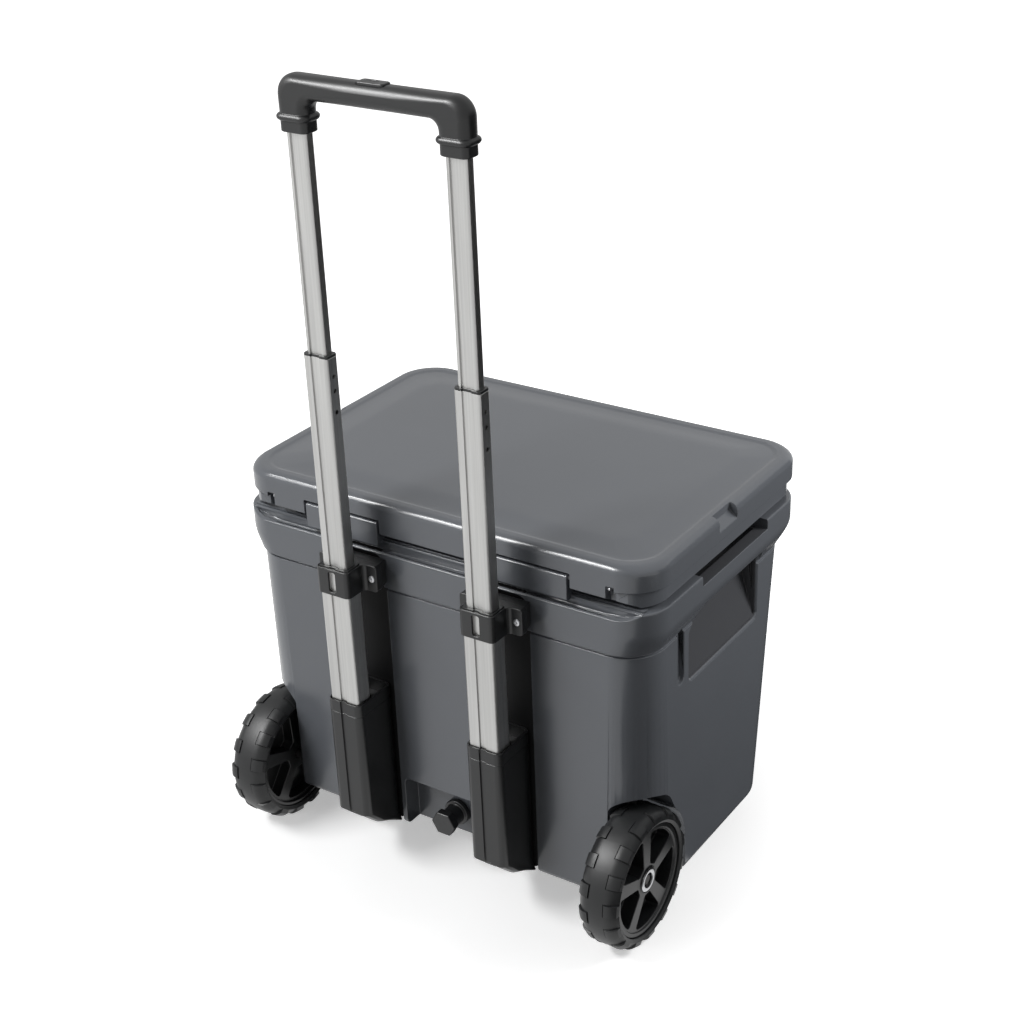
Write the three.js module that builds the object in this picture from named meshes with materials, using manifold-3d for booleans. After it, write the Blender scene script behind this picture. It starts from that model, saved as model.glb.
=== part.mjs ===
// Wheeled hard cooler: a moulded tub and lid, a two-stage telescopic handle on the rear wall, two wheels.
// Millimetres, +X to the right seen from the rear, +Y to the front (latch side), +Z up, ground at z = 0.
// Depth y is counted from the rear face of the outer handle tubes; the whole group is then moved so that
// y = 0 is the middle of the finished cooler.
import * as THREE from 'three';
import { mergeVertices } from 'three/addons/utils/BufferGeometryUtils.js';
import Module from 'manifold-3d';

const wasm = await Module();
wasm.setup();

// ---------------------------------------------------------------- driving dimensions

const gap = 0.3;                 // between pieces that seat on each other
const slideGap = 0.4;            // between pieces that slide or turn on each other
const over = 1;                  // cutting tools run past the faces that they open
const far = 40;                  // the same, where the tool ends in the open

// Tub
const groundClearance = 44;      // floor to the underside of the tub
const tubHeight = 408;           // underside to the rim deck
const tubWidth = 580;
const tubDepth = 369;            // just below the rim
const rearDraft = 2;             // how far the rear wall leans in towards the top
const frontDraft = 41;           // how far the front wall steps back at the bottom
const tubCorner = 50;
const bottomRound = 9;
const skinWall = 4;              // moulded skin
const fillRadius = 12;           // hole that the foam was poured through
const tubWall = 46;              // skin, foam and skin
const floorWall = 52;
const insideCorner = 26;
const insideDraft = 6;           // how much narrower the inside is at the floor, each side

// Rim around the top of the tub
const rimHeight = 57;
const rimFlare = 30;             // height over which the rim flares out
const rimSide = 10;              // overhang beyond the side walls
const rimRear = 4.5;
const rimStep = 0.8;             // small ledge along the rim's lower edge
const rimFront = 21;
const scoopWidth = 572;          // finger scoop under the lid, running out at the rear corners
const scoopHeight = 10;
const scoopDepth = 12;

// Lid
const lidSetback = 2.3;          // lid's sides from the rim's sides
const lidRearStep = 0.5;         // lid's rear face from the tub's rear wall
const lidProud = 5.9;            // lid's front face beyond the rim
const lidThickness = 51.5;
const lidLift = 4;               // gap between the rim deck and the lid skirt
const lidCorner = 49;
const lidRound = 8;              // top edge
const lidWaist = 5;              // the skirt steps in by this much
const lidSkirt = 18;             // height of that step
const lidPlateau = 23;           // border around the raised top
const lidRise = 1.6;
const plugDrop = 10;             // the lid's inner panel hangs below the skirt
const plugClearance = 7;
const gasketWidth = 8;
const gasketHeight = 7;
const strapWidth = 44;           // tie-down notch in the middle of each lid side
const strapDepth = 11;
const strapSetback = 12;
const heelHeight = 9;            // sloping rear lower edge
const heelDepth = 15;

// Hinge
const hingeInset = 7;            // axis forward of the tub's rear wall
const hingeHeight = 23.4;        // axis above the rim deck
const pinRadius = 3;
const pinProud = 3.5;            // pin's end beyond the lid ear
const pinSeat = 6;               // blind end of its hole in the block
const hingeStart = 80;           // block ends, from the middle of the cooler
const hingeWidth = 109;
const blockRear = 7.5;           // block around the axis
const blockFront = 14;
const blockTop = 4.8;
const blockFoot = 5;             // below the deck, over the finger scoop
const earWidth = 51;             // lid ear outboard of the block
const pinWindow = 10;            // notch that shows the end of the pin
const hingeSlack = 3;

// Side grips
const pocketRear = 107;          // forward of the tub's rear wall
const pocketWidth = 173;
const pocketBottom = 271;        // above the underside
const pocketHeight = 91;
const pocketDepth = 32;
const pocketChamfer = 26;
const pocketBevel = 8;           // below the top of the pocket, where its sloping back wall ends
const gripBarThickness = 17;
const gripBarRound = 12;
const gripSlot = 13;
const groovePitch = 22;          // upright groove behind each pocket
const grooveWidth = 14;
const grooveHeight = 75;
const grooveDepth = 6;

// Handle tubes
const tubeSpacing = 208;
const tubeStandoff = 60;         // tub's rear wall from the tube's rear face, at the rim
const outerTube = {
  width: 43, depth: 27.5, corner: 5, groove: 9, grooveDepth: 1.8, wall: 1.5, length: 345,
};
const middleTube = {
  width: 35, depth: 19.6, corner: 4, groove: 13, grooveDepth: 1.8, wall: 1.4, length: 335,
};
const upperTube = { width: 27.5, depth: 14, corner: 3.5, groove: 17, grooveDepth: 2, wall: 1.4 };
const tubeTop = 437;             // top of the outer tubes above the ground
const middleOut = 271;           // how far the middle stage slides out
const upperOut = 251;
const upperTravelRest = 60;      // length of upper tube left inside the middle one
const bushingLip = 3;
const bushingSleeve = 26;
const indexHole = 2.6;           // radius
const indexHoles = [67, 41, 23]; // below the top of the middle tube

// Grip
const collarHeight = 12.5;
const beadHeight = 8;
const legWidth = 40;
const beadProud = 2.2;
const collarStep = 1.5;
const barHeight = 27;
const barDepth = 28.5;
const gripHeight = 62.5;
const buttonWidth = 36;
const buttonDepth = 16;
const buttonProud = 1.5;
const buttonTravel = 5;
const buttonHeight = 9;
const springRadius = 4;
const springWire = 1.2;
const springTurns = 3;
const gripOuterRound = 22;
const gripInnerRound = 12;
const gripEdge = 8;

// Sockets and clamps
const socketWall = 3;
const socketSide = 1.8;
const seamSize = 0.8;
const socketTop = 252.6;
const socketFoot = 88;
const socketHeel = 43;
const socketSeam = 16;
const socketToe = 22;
const clampHeight = 35;
const clampWall = 2.5;
const clampWindow = 10;
const clampTop = 439;
const earReach = 22;             // ear beyond the saddle
const earThickness = 10;
const earHeight = 36;
const earCorner = 5;
const bracketHalf = 39.5;
const bracketTaper = 2;
const screwHold = 9;             // length of screw in the bracket
const screwRadius = 4;
const screwHead = 2.5;
const screwReach = 14.4;         // screw's axis beyond the tube's side
const recessHalf = 32;
const recessTop = 440;
const recessDepth = 12;
const recessCorner = 12;
const railThickness = 7;

// Drain
const drainWidth = 130;
const drainTop = 117;
const drainDepth = 26;
const drainCorner = 6;
const drainHeight = 75;
const drainBore = 13;
const drainFlange = 17.5;
const drainHex = 31;
const drainHexDepth = 11;        // length of the hexagon, in front of a round neck
const drainNeck = 13;
const drainSeal = 2;
const drainRim = 5;
const drainReach = 37;           // hex head, out from the back of its recess
const sumpWidth = 60;            // hollow in the floor that leads to the drain
const sumpLength = 50;

// Wheels
const wheelRadius = 88.9;
const wheelWidth = 53.3;
const wheelProud = 5;            // tyre's outer face beyond the tub's side
const wheelForward = 6;          // axis forward of the tub's rear wall
const hubRadius = 72.3;
const hubWidth = 45;
const hubBoss = 19;
const hubRim = 9;
const webOuter = 20.5;           // spokes' outer face from the middle of the wheel
const webThickness = 38.5;
const webMiddle = 4;             // closed sheet in the middle of the web, between the spokes
const spokeWidth = 21;
const spokeTaper = 0.55;
const bandWidth = 15;
const spokeCount = 5;
const ringOuter = 15;
const ringInner = 9.5;
const ringThickness = 6;
const axleRadius = 6;
const lugCount = 15;             // in each of the two rows
const lugHeight = 3;
const lugWidth = 15;
const lugLength = 16;
const wellClearance = 3.6;       // around the tyre, in front
const wellHead = 14;             // more room than that above the tyre
const wellShoulder = 42;         // angle above the axle at which the extra room begins, in degrees
const wellEase = 25;             // and over which it grows
const wellSide = 3;              // inboard of the tyre
const wellWall = 28;             // between a wheel well and the inside
const axleHold = 18;             // length of axle in the tub

// Front feet and latches
const footInset = 75;            // foot's middle from the tub's side
const footWidth = 70;
const footLength = 60;
const footSetback = 72;          // of its rear end from the front wall at the bottom
const latchInset = 125;          // latch's middle from the tub's side
const latchWidth = 42;
const latchHeight = 74;
const latchThickness = 8;
const latchLip = 4;              // finger lip at the foot of the latch
const latchDrop = 18;            // latch axis below the top of the lid
const latchEar = 6;
const latchPinRadius = 2.5;

// ---------------------------------------------------------------- derived places

const tubBottom = groundClearance;
const deck = tubBottom + tubHeight;
const tubRear = tubeStandoff;
const tubFront = tubRear + tubDepth;
const rimBottom = deck - rimHeight;
const rimRearFace = tubRear - rimRear;
const rimFrontFace = tubFront + rimFront;
const tubeMiddle = outerTube.depth / 2;
const lidBottom = deck + lidLift;
const lidTop = lidBottom + lidThickness;
const lidWidth = tubWidth + 2 * (rimSide - lidSetback);
const lidRearFace = tubRear + lidRearStep;
const lidFrontFace = rimFrontFace + lidProud;
const hingeY = tubRear + hingeInset;
const hingeZ = deck + hingeHeight;
const wheelY = tubRear + wheelForward;
const wheelX = tubWidth / 2 + wheelProud - wheelWidth / 2;
const footX = tubWidth / 2 - footInset;
const latchX = tubWidth / 2 - latchInset;
const latchY = lidFrontFace + latchThickness / 2 + 1;
const latchZ = lidTop - latchDrop;
const wellInner = wheelX - wheelWidth / 2 - wellSide;
const sides = [['left', -1], ['right', 1]];

// ---------------------------------------------------------------- geometry helpers

// A closed triangle mesh as a solid that can be joined and cut.
function solid(geometry) {
  const bare = geometry.clone();
  bare.deleteAttribute('normal');
  bare.deleteAttribute('uv');
  const merged = mergeVertices(bare, 1e-4);
  const vertProperties = new Float32Array(merged.attributes.position.array);
  const triVerts = new Uint32Array(merged.index.array);
  return new wasm.Manifold(new wasm.Mesh({ numProp: 3, vertProperties, triVerts }));
}

// Back from a solid to a geometry.
function geometryOf(body) {
  const mesh = body.getMesh();
  const geometry = new THREE.BufferGeometry();
  geometry.setAttribute('position', new THREE.BufferAttribute(new Float32Array(mesh.vertProperties), 3));
  geometry.setIndex(new THREE.BufferAttribute(new Uint32Array(mesh.triVerts), 1));
  return geometry;
}

function join(...bodies) {
  return bodies.reduce((whole, next) => whole.add(next));
}

function cut(body, ...tools) {
  return tools.reduce((rest, tool) => rest.subtract(tool), body);
}

// The largest of the separate lumps that a cut can leave.
function largest(body) {
  return body.decompose().sort((a, b) => b.volume() - a.volume())[0];
}

function block(x0, x1, y0, y1, z0, z1) {
  const geometry = new THREE.BoxGeometry(x1 - x0, y1 - y0, z1 - z0);
  return solid(geometry.translate((x0 + x1) / 2, (y0 + y1) / 2, (z0 + z1) / 2));
}

// Outlines: a rectangle with round corners, and a polygon.
function roundRect(x0, x1, y0, y1, radius) {
  const r = Math.min(radius, (x1 - x0) / 2.02, (y1 - y0) / 2.02);
  const shape = new THREE.Shape();
  shape.moveTo(x0 + r, y0);
  shape.lineTo(x1 - r, y0);
  shape.absarc(x1 - r, y0 + r, r, -Math.PI / 2, 0, false);
  shape.lineTo(x1, y1 - r);
  shape.absarc(x1 - r, y1 - r, r, 0, Math.PI / 2, false);
  shape.lineTo(x0 + r, y1);
  shape.absarc(x0 + r, y1 - r, r, Math.PI / 2, Math.PI, false);
  shape.lineTo(x0, y0 + r);
  shape.absarc(x0 + r, y0 + r, r, Math.PI, Math.PI * 1.5, false);
  return shape;
}

function polygon(points) {
  return new THREE.Shape(points.map(([x, y]) => new THREE.Vector2(x, y)));
}

// An outline in the xy plane pushed up from z0 to z1.
function alongZ(shape, z0, z1, curveSegments = 4) {
  const options = { depth: z1 - z0, bevelEnabled: false, curveSegments };
  return new THREE.ExtrudeGeometry(shape, options).translate(0, 0, z0);
}

// An outline in the yz plane pushed from x0 to x1.
function alongX(shape, x0, x1, curveSegments = 4) {
  const geometry = alongZ(shape, x0, x1, curveSegments);
  return geometry.applyMatrix4(new THREE.Matrix4().set(0, 0, 1, 0, 1, 0, 0, 0, 0, 1, 0, 0, 0, 0, 0, 1));
}

// An outline in the xz plane pushed from y0 to y1.
function alongY(shape, y0, y1, curveSegments = 4) {
  const geometry = alongZ(shape, -y1, -y0, curveSegments);
  return geometry.rotateX(Math.PI / 2);
}

// A straight-sided body through rounded rectangles, one for each level from the bottom up:
// { z, half, rear, front, corner } with half the width, the rear and front y and the corner radius.
function stack(levels, curveSegments = 4) {
  const base = levels[0];
  const shape = roundRect(-base.half, base.half, base.rear, base.front, base.corner);
  const steps = levels.length - 1;
  const options = { depth: steps, steps, bevelEnabled: false, curveSegments };
  const geometry = new THREE.ExtrudeGeometry(shape, options);
  const position = geometry.attributes.position;
  const middle = (base.rear + base.front) / 2;
  for (let i = 0; i < position.count; i += 1) {
    const level = levels[Math.round(position.getZ(i))];
    const sideX = Math.sign(position.getX(i));
    const sideY = Math.sign(position.getY(i) - middle);
    const centreX = sideX * (base.half - base.corner);
    const centreY = sideY < 0 ? base.rear + base.corner : base.front - base.corner;
    const outX = (position.getX(i) - centreX) / base.corner;
    const outY = (position.getY(i) - centreY) / base.corner;
    const newY = sideY < 0 ? level.rear + level.corner : level.front - level.corner;
    const newX = sideX * (level.half - level.corner);
    position.setXYZ(i, newX + outX * level.corner, newY + outY * level.corner, level.z);
  }
  return solid(geometry);
}

// The same levels moved inwards by a wall: up to the first widest level they also move up, past it down.
function inset(levels, wall) {
  const widest = levels.reduce((best, level, i) => (level.half > levels[best].half ? i : best), 0);
  return levels.map((level, i) => ({
    z: level.z + (i <= widest && i < levels.length - 1 ? wall : -wall),
    half: level.half - wall,
    rear: level.rear + wall,
    front: level.front - wall,
    corner: Math.max(level.corner - wall, 2),
  }));
}

// A disc, rod or ring about an axis along x, given its profile as [distance along, radius] pairs.
function turnedAlongX(profile, segments) {
  const points = profile.map(([along, radius]) => new THREE.Vector2(radius, along));
  const geometry = new THREE.LatheGeometry(points.reverse(), segments);
  return geometry.rotateZ(-Math.PI / 2);
}

function rodAlongX(x0, x1, y, z, radius, segments = 16) {
  const geometry = new THREE.CylinderGeometry(radius, radius, x1 - x0, segments);
  return geometry.rotateZ(-Math.PI / 2).translate((x0 + x1) / 2, y, z);
}

function rodAlongY(x, y0, y1, z, radius, segments = 16) {
  const geometry = new THREE.CylinderGeometry(radius, radius, y1 - y0, segments);
  return geometry.translate(x, (y0 + y1) / 2, z);
}

function rodAlongZ(x, y, z0, z1, radius, segments = 16) {
  const geometry = new THREE.CylinderGeometry(radius, radius, z1 - z0, segments);
  return geometry.rotateX(Math.PI / 2).translate(x, y, (z0 + z1) / 2);
}

// ---------------------------------------------------------------- materials

const charcoalPlastic = { color: '#5f6164', roughness: 0.55, metalness: 0 };
const blackPlastic = { color: '#26282a', roughness: 0.5, metalness: 0 };
const rubber = { color: '#1d1e1f', roughness: 0.75, metalness: 0 };
const tyreRubber = { color: '#2c2d2e', roughness: 0.7, metalness: 0 };
const aluminium = { color: '#c4c5c7', roughness: 0.35, metalness: 1 };
const steel = { color: '#b9babd', roughness: 0.3, metalness: 1 };
const foam = { color: '#e6dfc4', roughness: 0.9, metalness: 0 };

const cooler = new THREE.Group();

function piece(name, shape, material, parent = cooler) {
  const geometry = shape.isBufferGeometry ? shape : geometryOf(shape);
  const mesh = new THREE.Mesh(geometry, new THREE.MeshStandardMaterial(material));
  mesh.name = name;
  parent.add(mesh);
  return mesh;
}

// ---------------------------------------------------------------- tub

// Rear and front y of the plain tub wall at a height.
function tubWallAt(z) {
  const up = (z - tubBottom) / (rimBottom - tubBottom);
  return { rear: tubRear - rearDraft * (1 - up), front: tubFront - frontDraft * (1 - up) };
}

function tubLevels() {
  const half = tubWidth / 2;
  const level = (z, shrink, corner) => {
    const wall = tubWallAt(z);
    return { z, half: half - shrink, rear: wall.rear + shrink, front: wall.front - shrink, corner };
  };
  const rim = { half: half + rimSide, rear: rimRearFace, front: rimFrontFace, corner: tubCorner };
  return [
    level(tubBottom, bottomRound, tubCorner),
    level(tubBottom + bottomRound * 0.3, bottomRound * 0.3, tubCorner + bottomRound * 0.7),
    level(tubBottom + bottomRound, 0, tubCorner + bottomRound),
    level(rimBottom, 0, tubCorner),
    { ...rim, z: rimBottom + rimStep, half: half + rimStep, front: tubFront + rimStep },
    { ...rim, z: rimBottom + rimFlare },
    { ...rim, z: deck },
  ];
}

// The hollow that holds the food and ice, seen as the space inside the inner wall.
function tubInside(grow, facets = 4) {
  const half = tubWidth / 2 - tubWall + grow;
  const floor = tubBottom + floorWall - grow;
  const corner = insideCorner + grow;
  const foot = tubWallAt(floor);
  const rear = tubRear + tubWall - grow;
  const front = tubFront - tubWall + rimFront / 2 + grow;
  const inner = stack([
    { z: floor, half: half - insideDraft, rear, front: foot.front - tubWall + grow, corner },
    { z: deck + over + grow, half, rear, front, corner },
  ], facets);
  const sumpFloor = drainHeight - drainBore - 2 - grow;
  const sumpHalf = sumpWidth / 2 + grow;
  const sump = block(-sumpHalf, sumpHalf, rear, rear + sumpLength + grow * 2, sumpFloor, floor + over);
  return cut(join(inner, sump), ...sides.map(([, side]) => wheelArch(side, wellWall - grow)));
}

// Space for a wheel: an arch over the tyre, open outwards, rearwards and downwards, with a high
// roof that comes down to hug the tyre in front.
function wheelArch(side, grow, facets = 24) {
  const inner = wellInner - grow;
  const outer = tubWidth / 2 + rimSide + grow + 1;
  const points = [];
  for (let i = 0; i <= facets; i += 1) {
    const angle = (i / facets) * 180;
    const up = THREE.MathUtils.smoothstep(angle, wellShoulder, wellShoulder + wellEase);
    const radius = wheelRadius + wellClearance + grow + wellHead * up;
    const turn = THREE.MathUtils.degToRad(angle);
    points.push([wheelY + radius * Math.cos(turn), wheelRadius + radius * Math.sin(turn)]);
  }
  points.push([points[facets][0], tubBottom - 20], [points[0][0], tubBottom - 20]);
  const arch = solid(alongX(polygon(points), inner, outer));
  return side > 0 ? arch : arch.mirror([1, 0, 0]);
}

// Hand pocket in a side wall, with the slot behind its grip bar; the back wall slopes out to the bottom.
function sidePocket(side, grow) {
  const face = tubWidth / 2;
  const back = face - pocketDepth - grow;
  const open = face + far;
  const rear = tubRear + pocketRear - grow;
  const front = rear + pocketWidth + grow * 2;
  const foot = tubBottom + pocketBottom;
  const head = foot + pocketHeight;
  const [bottom, top] = [foot - grow, head + grow];
  const hollow = solid(alongX(polygon([
    [rear, bottom], [front, bottom], [front, top], [rear + pocketChamfer, top], [rear, top - pocketChamfer],
  ]), back, open));
  const slope = solid(alongY(polygon([
    [back - over, foot - far], [face - grow, foot - far], [face - grow, foot],
    [back, head - pocketBevel], [back - over, head - pocketBevel],
  ]), rear - over, front + over));
  const slotRear = rear + pocketChamfer / 2;
  const barInside = face + rimSide - gripBarThickness + grow;
  const behindBar = block(back, barInside, slotRear, front, head - gripBarRound - grow, deck + over + grow);
  const slotFront = front + gripSlot / 2;
  const overBar = block(back, open, slotRear, slotFront, deck - gripSlot - grow, deck + over + grow);
  const whole = join(cut(hollow, slope), behindBar, overBar);
  return side > 0 ? whole : whole.mirror([1, 0, 0]);
}

// Upright groove beside each pocket.
function sideGroove(side, grow) {
  const face = tubWidth / 2;
  const middle = tubRear + pocketRear - groovePitch;
  const half = grooveWidth / 2 + grow;
  const bottom = tubBottom + pocketBottom + half - grow * 2;
  const top = bottom + grooveHeight + grow * 2;
  const outline = roundRect(middle - half, middle + half, bottom, top, half);
  const groove = solid(alongX(outline, face - grooveDepth - grow, face + far));
  return side > 0 ? groove : groove.mirror([1, 0, 0]);
}

// Channel in the rear wall behind a handle tube, holding the black rail.
function tubeRecess(side, grow) {
  const middle = side * tubeSpacing / 2;
  const half = recessHalf + grow;
  const [left, right] = [middle - half, middle + half];
  const outline = roundRect(left, right, tubBottom - far, recessTop + grow, recessCorner + grow);
  return solid(alongY(outline, -far, tubRear + recessDepth + grow));
}

function drainRecess(grow) {
  const half = drainWidth / 2 + grow;
  const outline = roundRect(-half, half, tubBottom - far, drainTop + grow, drainCorner + grow);
  return solid(alongY(outline, -far, tubRear - rearDraft + drainDepth + grow));
}

function drainHole(radius) {
  return solid(rodAlongY(0, tubRear, tubRear + tubWall + sumpLength / 2, drainHeight, radius, 20));
}

function scoop() {
  const half = scoopWidth / 2;
  const outline = roundRect(-half, half, deck - scoopHeight, deck + far, scoopHeight * 0.8);
  return solid(alongY(outline, rimRearFace - far, rimRearFace + scoopDepth));
}

// Hinge block on the rim, round at its rear top edge so that the lid's cut-out can swing past.
function hingeBlock(side) {
  const round = Math.min(blockTop, blockRear);
  const [rear, front] = [hingeY - blockRear, hingeY + blockFront];
  const [bottom, top] = [deck - blockFoot, hingeZ + blockTop];
  const outline = new THREE.Shape();
  outline.moveTo(rear, bottom);
  outline.lineTo(front, bottom);
  outline.lineTo(front, top);
  outline.absarc(rear + round, top - round, round, Math.PI / 2, Math.PI, false);
  const x0 = side > 0 ? hingeStart : -hingeStart - hingeWidth;
  return solid(alongX(outline, x0, x0 + hingeWidth));
}

const pinOuterEnd = hingeStart + hingeWidth + earWidth + pinProud;
const pinInnerEnd = hingeStart + pinSeat;

function blockBore(side) {
  const [near, end] = [pinInnerEnd - gap, hingeStart + hingeWidth + over];
  const [x0, x1] = side > 0 ? [near, end] : [-end, -near];
  return solid(rodAlongX(x0, x1, hingeY, hingeZ, pinRadius + gap, 20));
}

function axleBore(side, grow) {
  const end = wellInner - axleHold - gap - grow;
  const [x0, x1] = side > 0 ? [end, wellInner + 5] : [-wellInner - 5, -end];
  return solid(rodAlongX(x0, x1, wheelY, wheelRadius, axleRadius + gap + grow, 20));
}

function tubFillRod(radius, z0, z1) {
  return rodAlongZ(0, (tubRear + tubFront) / 2, z0, z1, radius, 20);
}

// The foam core: the tub moved in by its skin, less everything that the skin wraps.
function tubCore(wall) {
  const levels = inset(tubLevels(), wall);
  const features = [];
  for (const [, side] of sides) {
    features.push(wheelArch(side, wall, 16), axleBore(side, wall), tubeRecess(side, wall));
    features.push(sidePocket(side, wall), sideGroove(side, wall));
  }
  features.push(drainRecess(wall), drainHole(drainBore + wall));
  const body = cut(stack(levels, 2), tubInside(wall, 2), ...features);
  const scoopFront = rimRearFace + scoopDepth + wall;
  return largest(cut(body, block(-tubWidth, tubWidth, 0, scoopFront, deck - scoopHeight - wall, deck + far)));
}

function buildTub() {
  const features = [];
  const blocks = [];
  for (const [, side] of sides) {
    features.push(wheelArch(side, 0), axleBore(side, 0), tubeRecess(side, 0));
    features.push(sidePocket(side, 0), sideGroove(side, 0));
    blocks.push(cut(hingeBlock(side), blockBore(side)));
  }
  features.push(drainRecess(0), drainHole(drainBore), scoop());
  const outside = join(cut(stack(tubLevels()), tubInside(0), ...features), ...blocks);
  const fill = solid(tubFillRod(fillRadius, tubBottom - over, tubBottom + skinWall + over));
  return largest(cut(outside, tubCore(skinWall), fill));
}

piece('tub_skin', buildTub(), charcoalPlastic);
piece('tub_foam', tubCore(skinWall + gap), foam);
piece('tub_fill_plug', tubFillRod(fillRadius - gap, tubBottom - 1, tubBottom + skinWall), blackPlastic);

// ---------------------------------------------------------------- lid

function lidLevels() {
  const half = lidWidth / 2;
  const [rear, front] = [lidRearFace, lidFrontFace];
  const waist = { half: half - lidWaist, rear, front: front - lidWaist, corner: lidCorner };
  const shrunk = (z, by) => ({ z, half: half - by, rear: rear + by, front: front - by, corner: lidCorner });
  return [
    { ...waist, z: lidBottom },
    { ...waist, z: lidBottom + lidSkirt },
    shrunk(lidBottom + lidSkirt + lidWaist * 0.6, 0),
    shrunk(lidTop - lidRound, 0),
    shrunk(lidTop - lidRound * 0.3, lidRound * 0.3),
    shrunk(lidTop, lidRound),
  ];
}

// The raised middle of the lid's top.
function lidPlateauLevels() {
  const half = lidWidth / 2 - lidPlateau;
  const [rear, front] = [lidRearFace + lidPlateau, lidFrontFace - lidPlateau];
  const low = { half, rear, front, corner: lidCorner - lidPlateau / 2 };
  const high = { half: half - 2, rear: rear + 2, front: front - 2, corner: low.corner };
  return [{ ...low, z: lidTop - skinWall / 2 }, { ...low, z: lidTop }, { ...high, z: lidTop + lidRise }];
}

// The inner panel that hangs into the mouth of the tub.
function lidPanelLevels() {
  const half = tubWidth / 2 - tubWall - plugClearance;
  const rear = tubRear + tubWall + plugClearance;
  const front = tubWallAt(rimBottom).front - tubWall - plugClearance;
  const level = { half, rear, front, corner: 22 };
  return [{ ...level, z: lidBottom - plugDrop }, { ...level, z: lidBottom + skinWall * 2 }];
}

// Cut-out that a hinge block stands in.
function hingeCutout(side, grow) {
  const x0 = side > 0 ? hingeStart - hingeSlack - grow : -hingeStart - hingeWidth - hingeSlack - grow;
  const width = hingeWidth + (hingeSlack + grow) * 2;
  const front = hingeY + blockFront + hingeSlack + grow;
  const top = hingeZ + blockTop + hingeSlack + grow;
  return block(x0, x0 + width, lidRearFace - far, front, lidBottom - far, top);
}

// Small notch at the outer end of a hinge pin.
function pinNotch(side, grow) {
  const x0 = hingeStart + hingeWidth + earWidth - grow;
  const x1 = x0 + pinWindow + grow * 2;
  const [left, right] = side > 0 ? [x0, x1] : [-x1, -x0];
  const reach = pinRadius + 2 + grow;
  return block(left, right, lidRearFace - far, hingeY + reach, lidBottom - far, hingeZ + reach);
}

// Sloping cut along the rear lower edge, which swings past the rim as the lid opens.
function lidHeel(grow) {
  const [rear, bottom] = [lidRearFace + grow, lidBottom + grow];
  const outline = polygon([
    [rear - heelDepth, bottom + heelHeight * 2], [rear - heelDepth, bottom - far],
    [rear + heelDepth * 2, bottom - far], [rear + heelDepth * 2, bottom - heelHeight],
  ]);
  return solid(alongX(outline, -lidWidth, lidWidth));
}

function strapNotch(side, grow) {
  const middle = (lidRearFace + lidFrontFace) / 2 - strapSetback;
  const half = lidWidth / 2;
  const back = half - strapDepth - grow;
  const outline = polygon([
    [back, lidTop - strapDepth - grow], [half + over, lidTop - strapDepth * 2 - grow],
    [half + far, lidTop - strapDepth * 2 - grow], [half + far, lidTop + far], [back, lidTop + far],
  ]);
  const notch = solid(alongY(outline, middle - strapWidth / 2 - grow, middle + strapWidth / 2 + grow));
  return side > 0 ? notch : notch.mirror([1, 0, 0]);
}

// Outline of the gasket between the lid and the rim deck, grown or shrunk by a margin.
function gasketOutline(margin) {
  const half = tubWidth / 2 - tubWall + gasketWidth * 1.5;
  const rear = tubRear + tubWall - gasketWidth * 1.5;
  const front = tubWallAt(rimBottom).front - tubWall + rimFront / 2 + gasketWidth * 1.5;
  return roundRect(-half - margin, half + margin, rear - margin, front + margin, 34 + margin);
}

function gasketRing(margin, z0, z1) {
  const shape = gasketOutline(gasketWidth / 2 + margin);
  shape.holes.push(gasketOutline(-gasketWidth / 2 - margin));
  return alongZ(shape, z0, z1, 3);
}

function lidBore(side, grow) {
  const x0 = hingeStart + hingeWidth;
  const x1 = x0 + earWidth + 1;
  const [left, right] = side > 0 ? [x0, x1] : [-x1, -x0];
  return solid(rodAlongX(left, right, hingeY, hingeZ, pinRadius + gap + grow, 20));
}

// Ears on the lid's front face that hold a latch's pin.
function latchEars(side) {
  const middle = side * latchX;
  const reach = latchWidth / 2 + slideGap;
  const front = latchY + latchThickness / 2;
  const ear = (x0) => block(x0, x0 + latchEar, lidFrontFace - 2, front, latchZ - latchEar, latchZ + latchEar);
  const [x0, x1] = [middle - reach - latchEar - over, middle + reach + latchEar + over];
  const pinHole = solid(rodAlongX(x0, x1, latchY, latchZ, latchPinRadius + gap, 12));
  return cut(join(ear(middle - reach - latchEar), ear(middle + reach)), pinHole);
}

function lidCore(wall) {
  const features = [lidHeel(wall), solid(gasketRing(wall, deck, deck + gasketHeight + gap * 2 + wall))];
  for (const [, side] of sides) {
    features.push(hingeCutout(side, wall), pinNotch(side, wall), strapNotch(side, wall), lidBore(side, wall));
  }
  const panel = inset(lidPanelLevels(), wall);
  panel[1].z = lidBottom + wall + skinWall;
  const body = join(stack(inset(lidLevels(), wall), 2), stack(panel, 2));
  return largest(cut(body, ...features));
}

function lidFillRod(radius, z0, z1) {
  return rodAlongZ(0, (lidRearFace + lidFrontFace) / 2, z0, z1, radius, 20);
}

function buildLid() {
  const features = [lidHeel(0), solid(gasketRing(gap, deck, deck + gasketHeight + gap * 2))];
  const ears = [];
  for (const [, side] of sides) {
    features.push(hingeCutout(side, 0), pinNotch(side, 0), strapNotch(side, 0), lidBore(side, 0));
    ears.push(latchEars(side));
  }
  const panelFace = lidBottom - plugDrop;
  const fill = solid(lidFillRod(fillRadius, panelFace - over, panelFace + skinWall + over));
  const skin = join(stack(lidLevels()), stack(lidPlateauLevels()), stack(lidPanelLevels()));
  return largest(cut(join(cut(skin, ...features), ...ears), lidCore(skinWall), fill));
}

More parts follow.
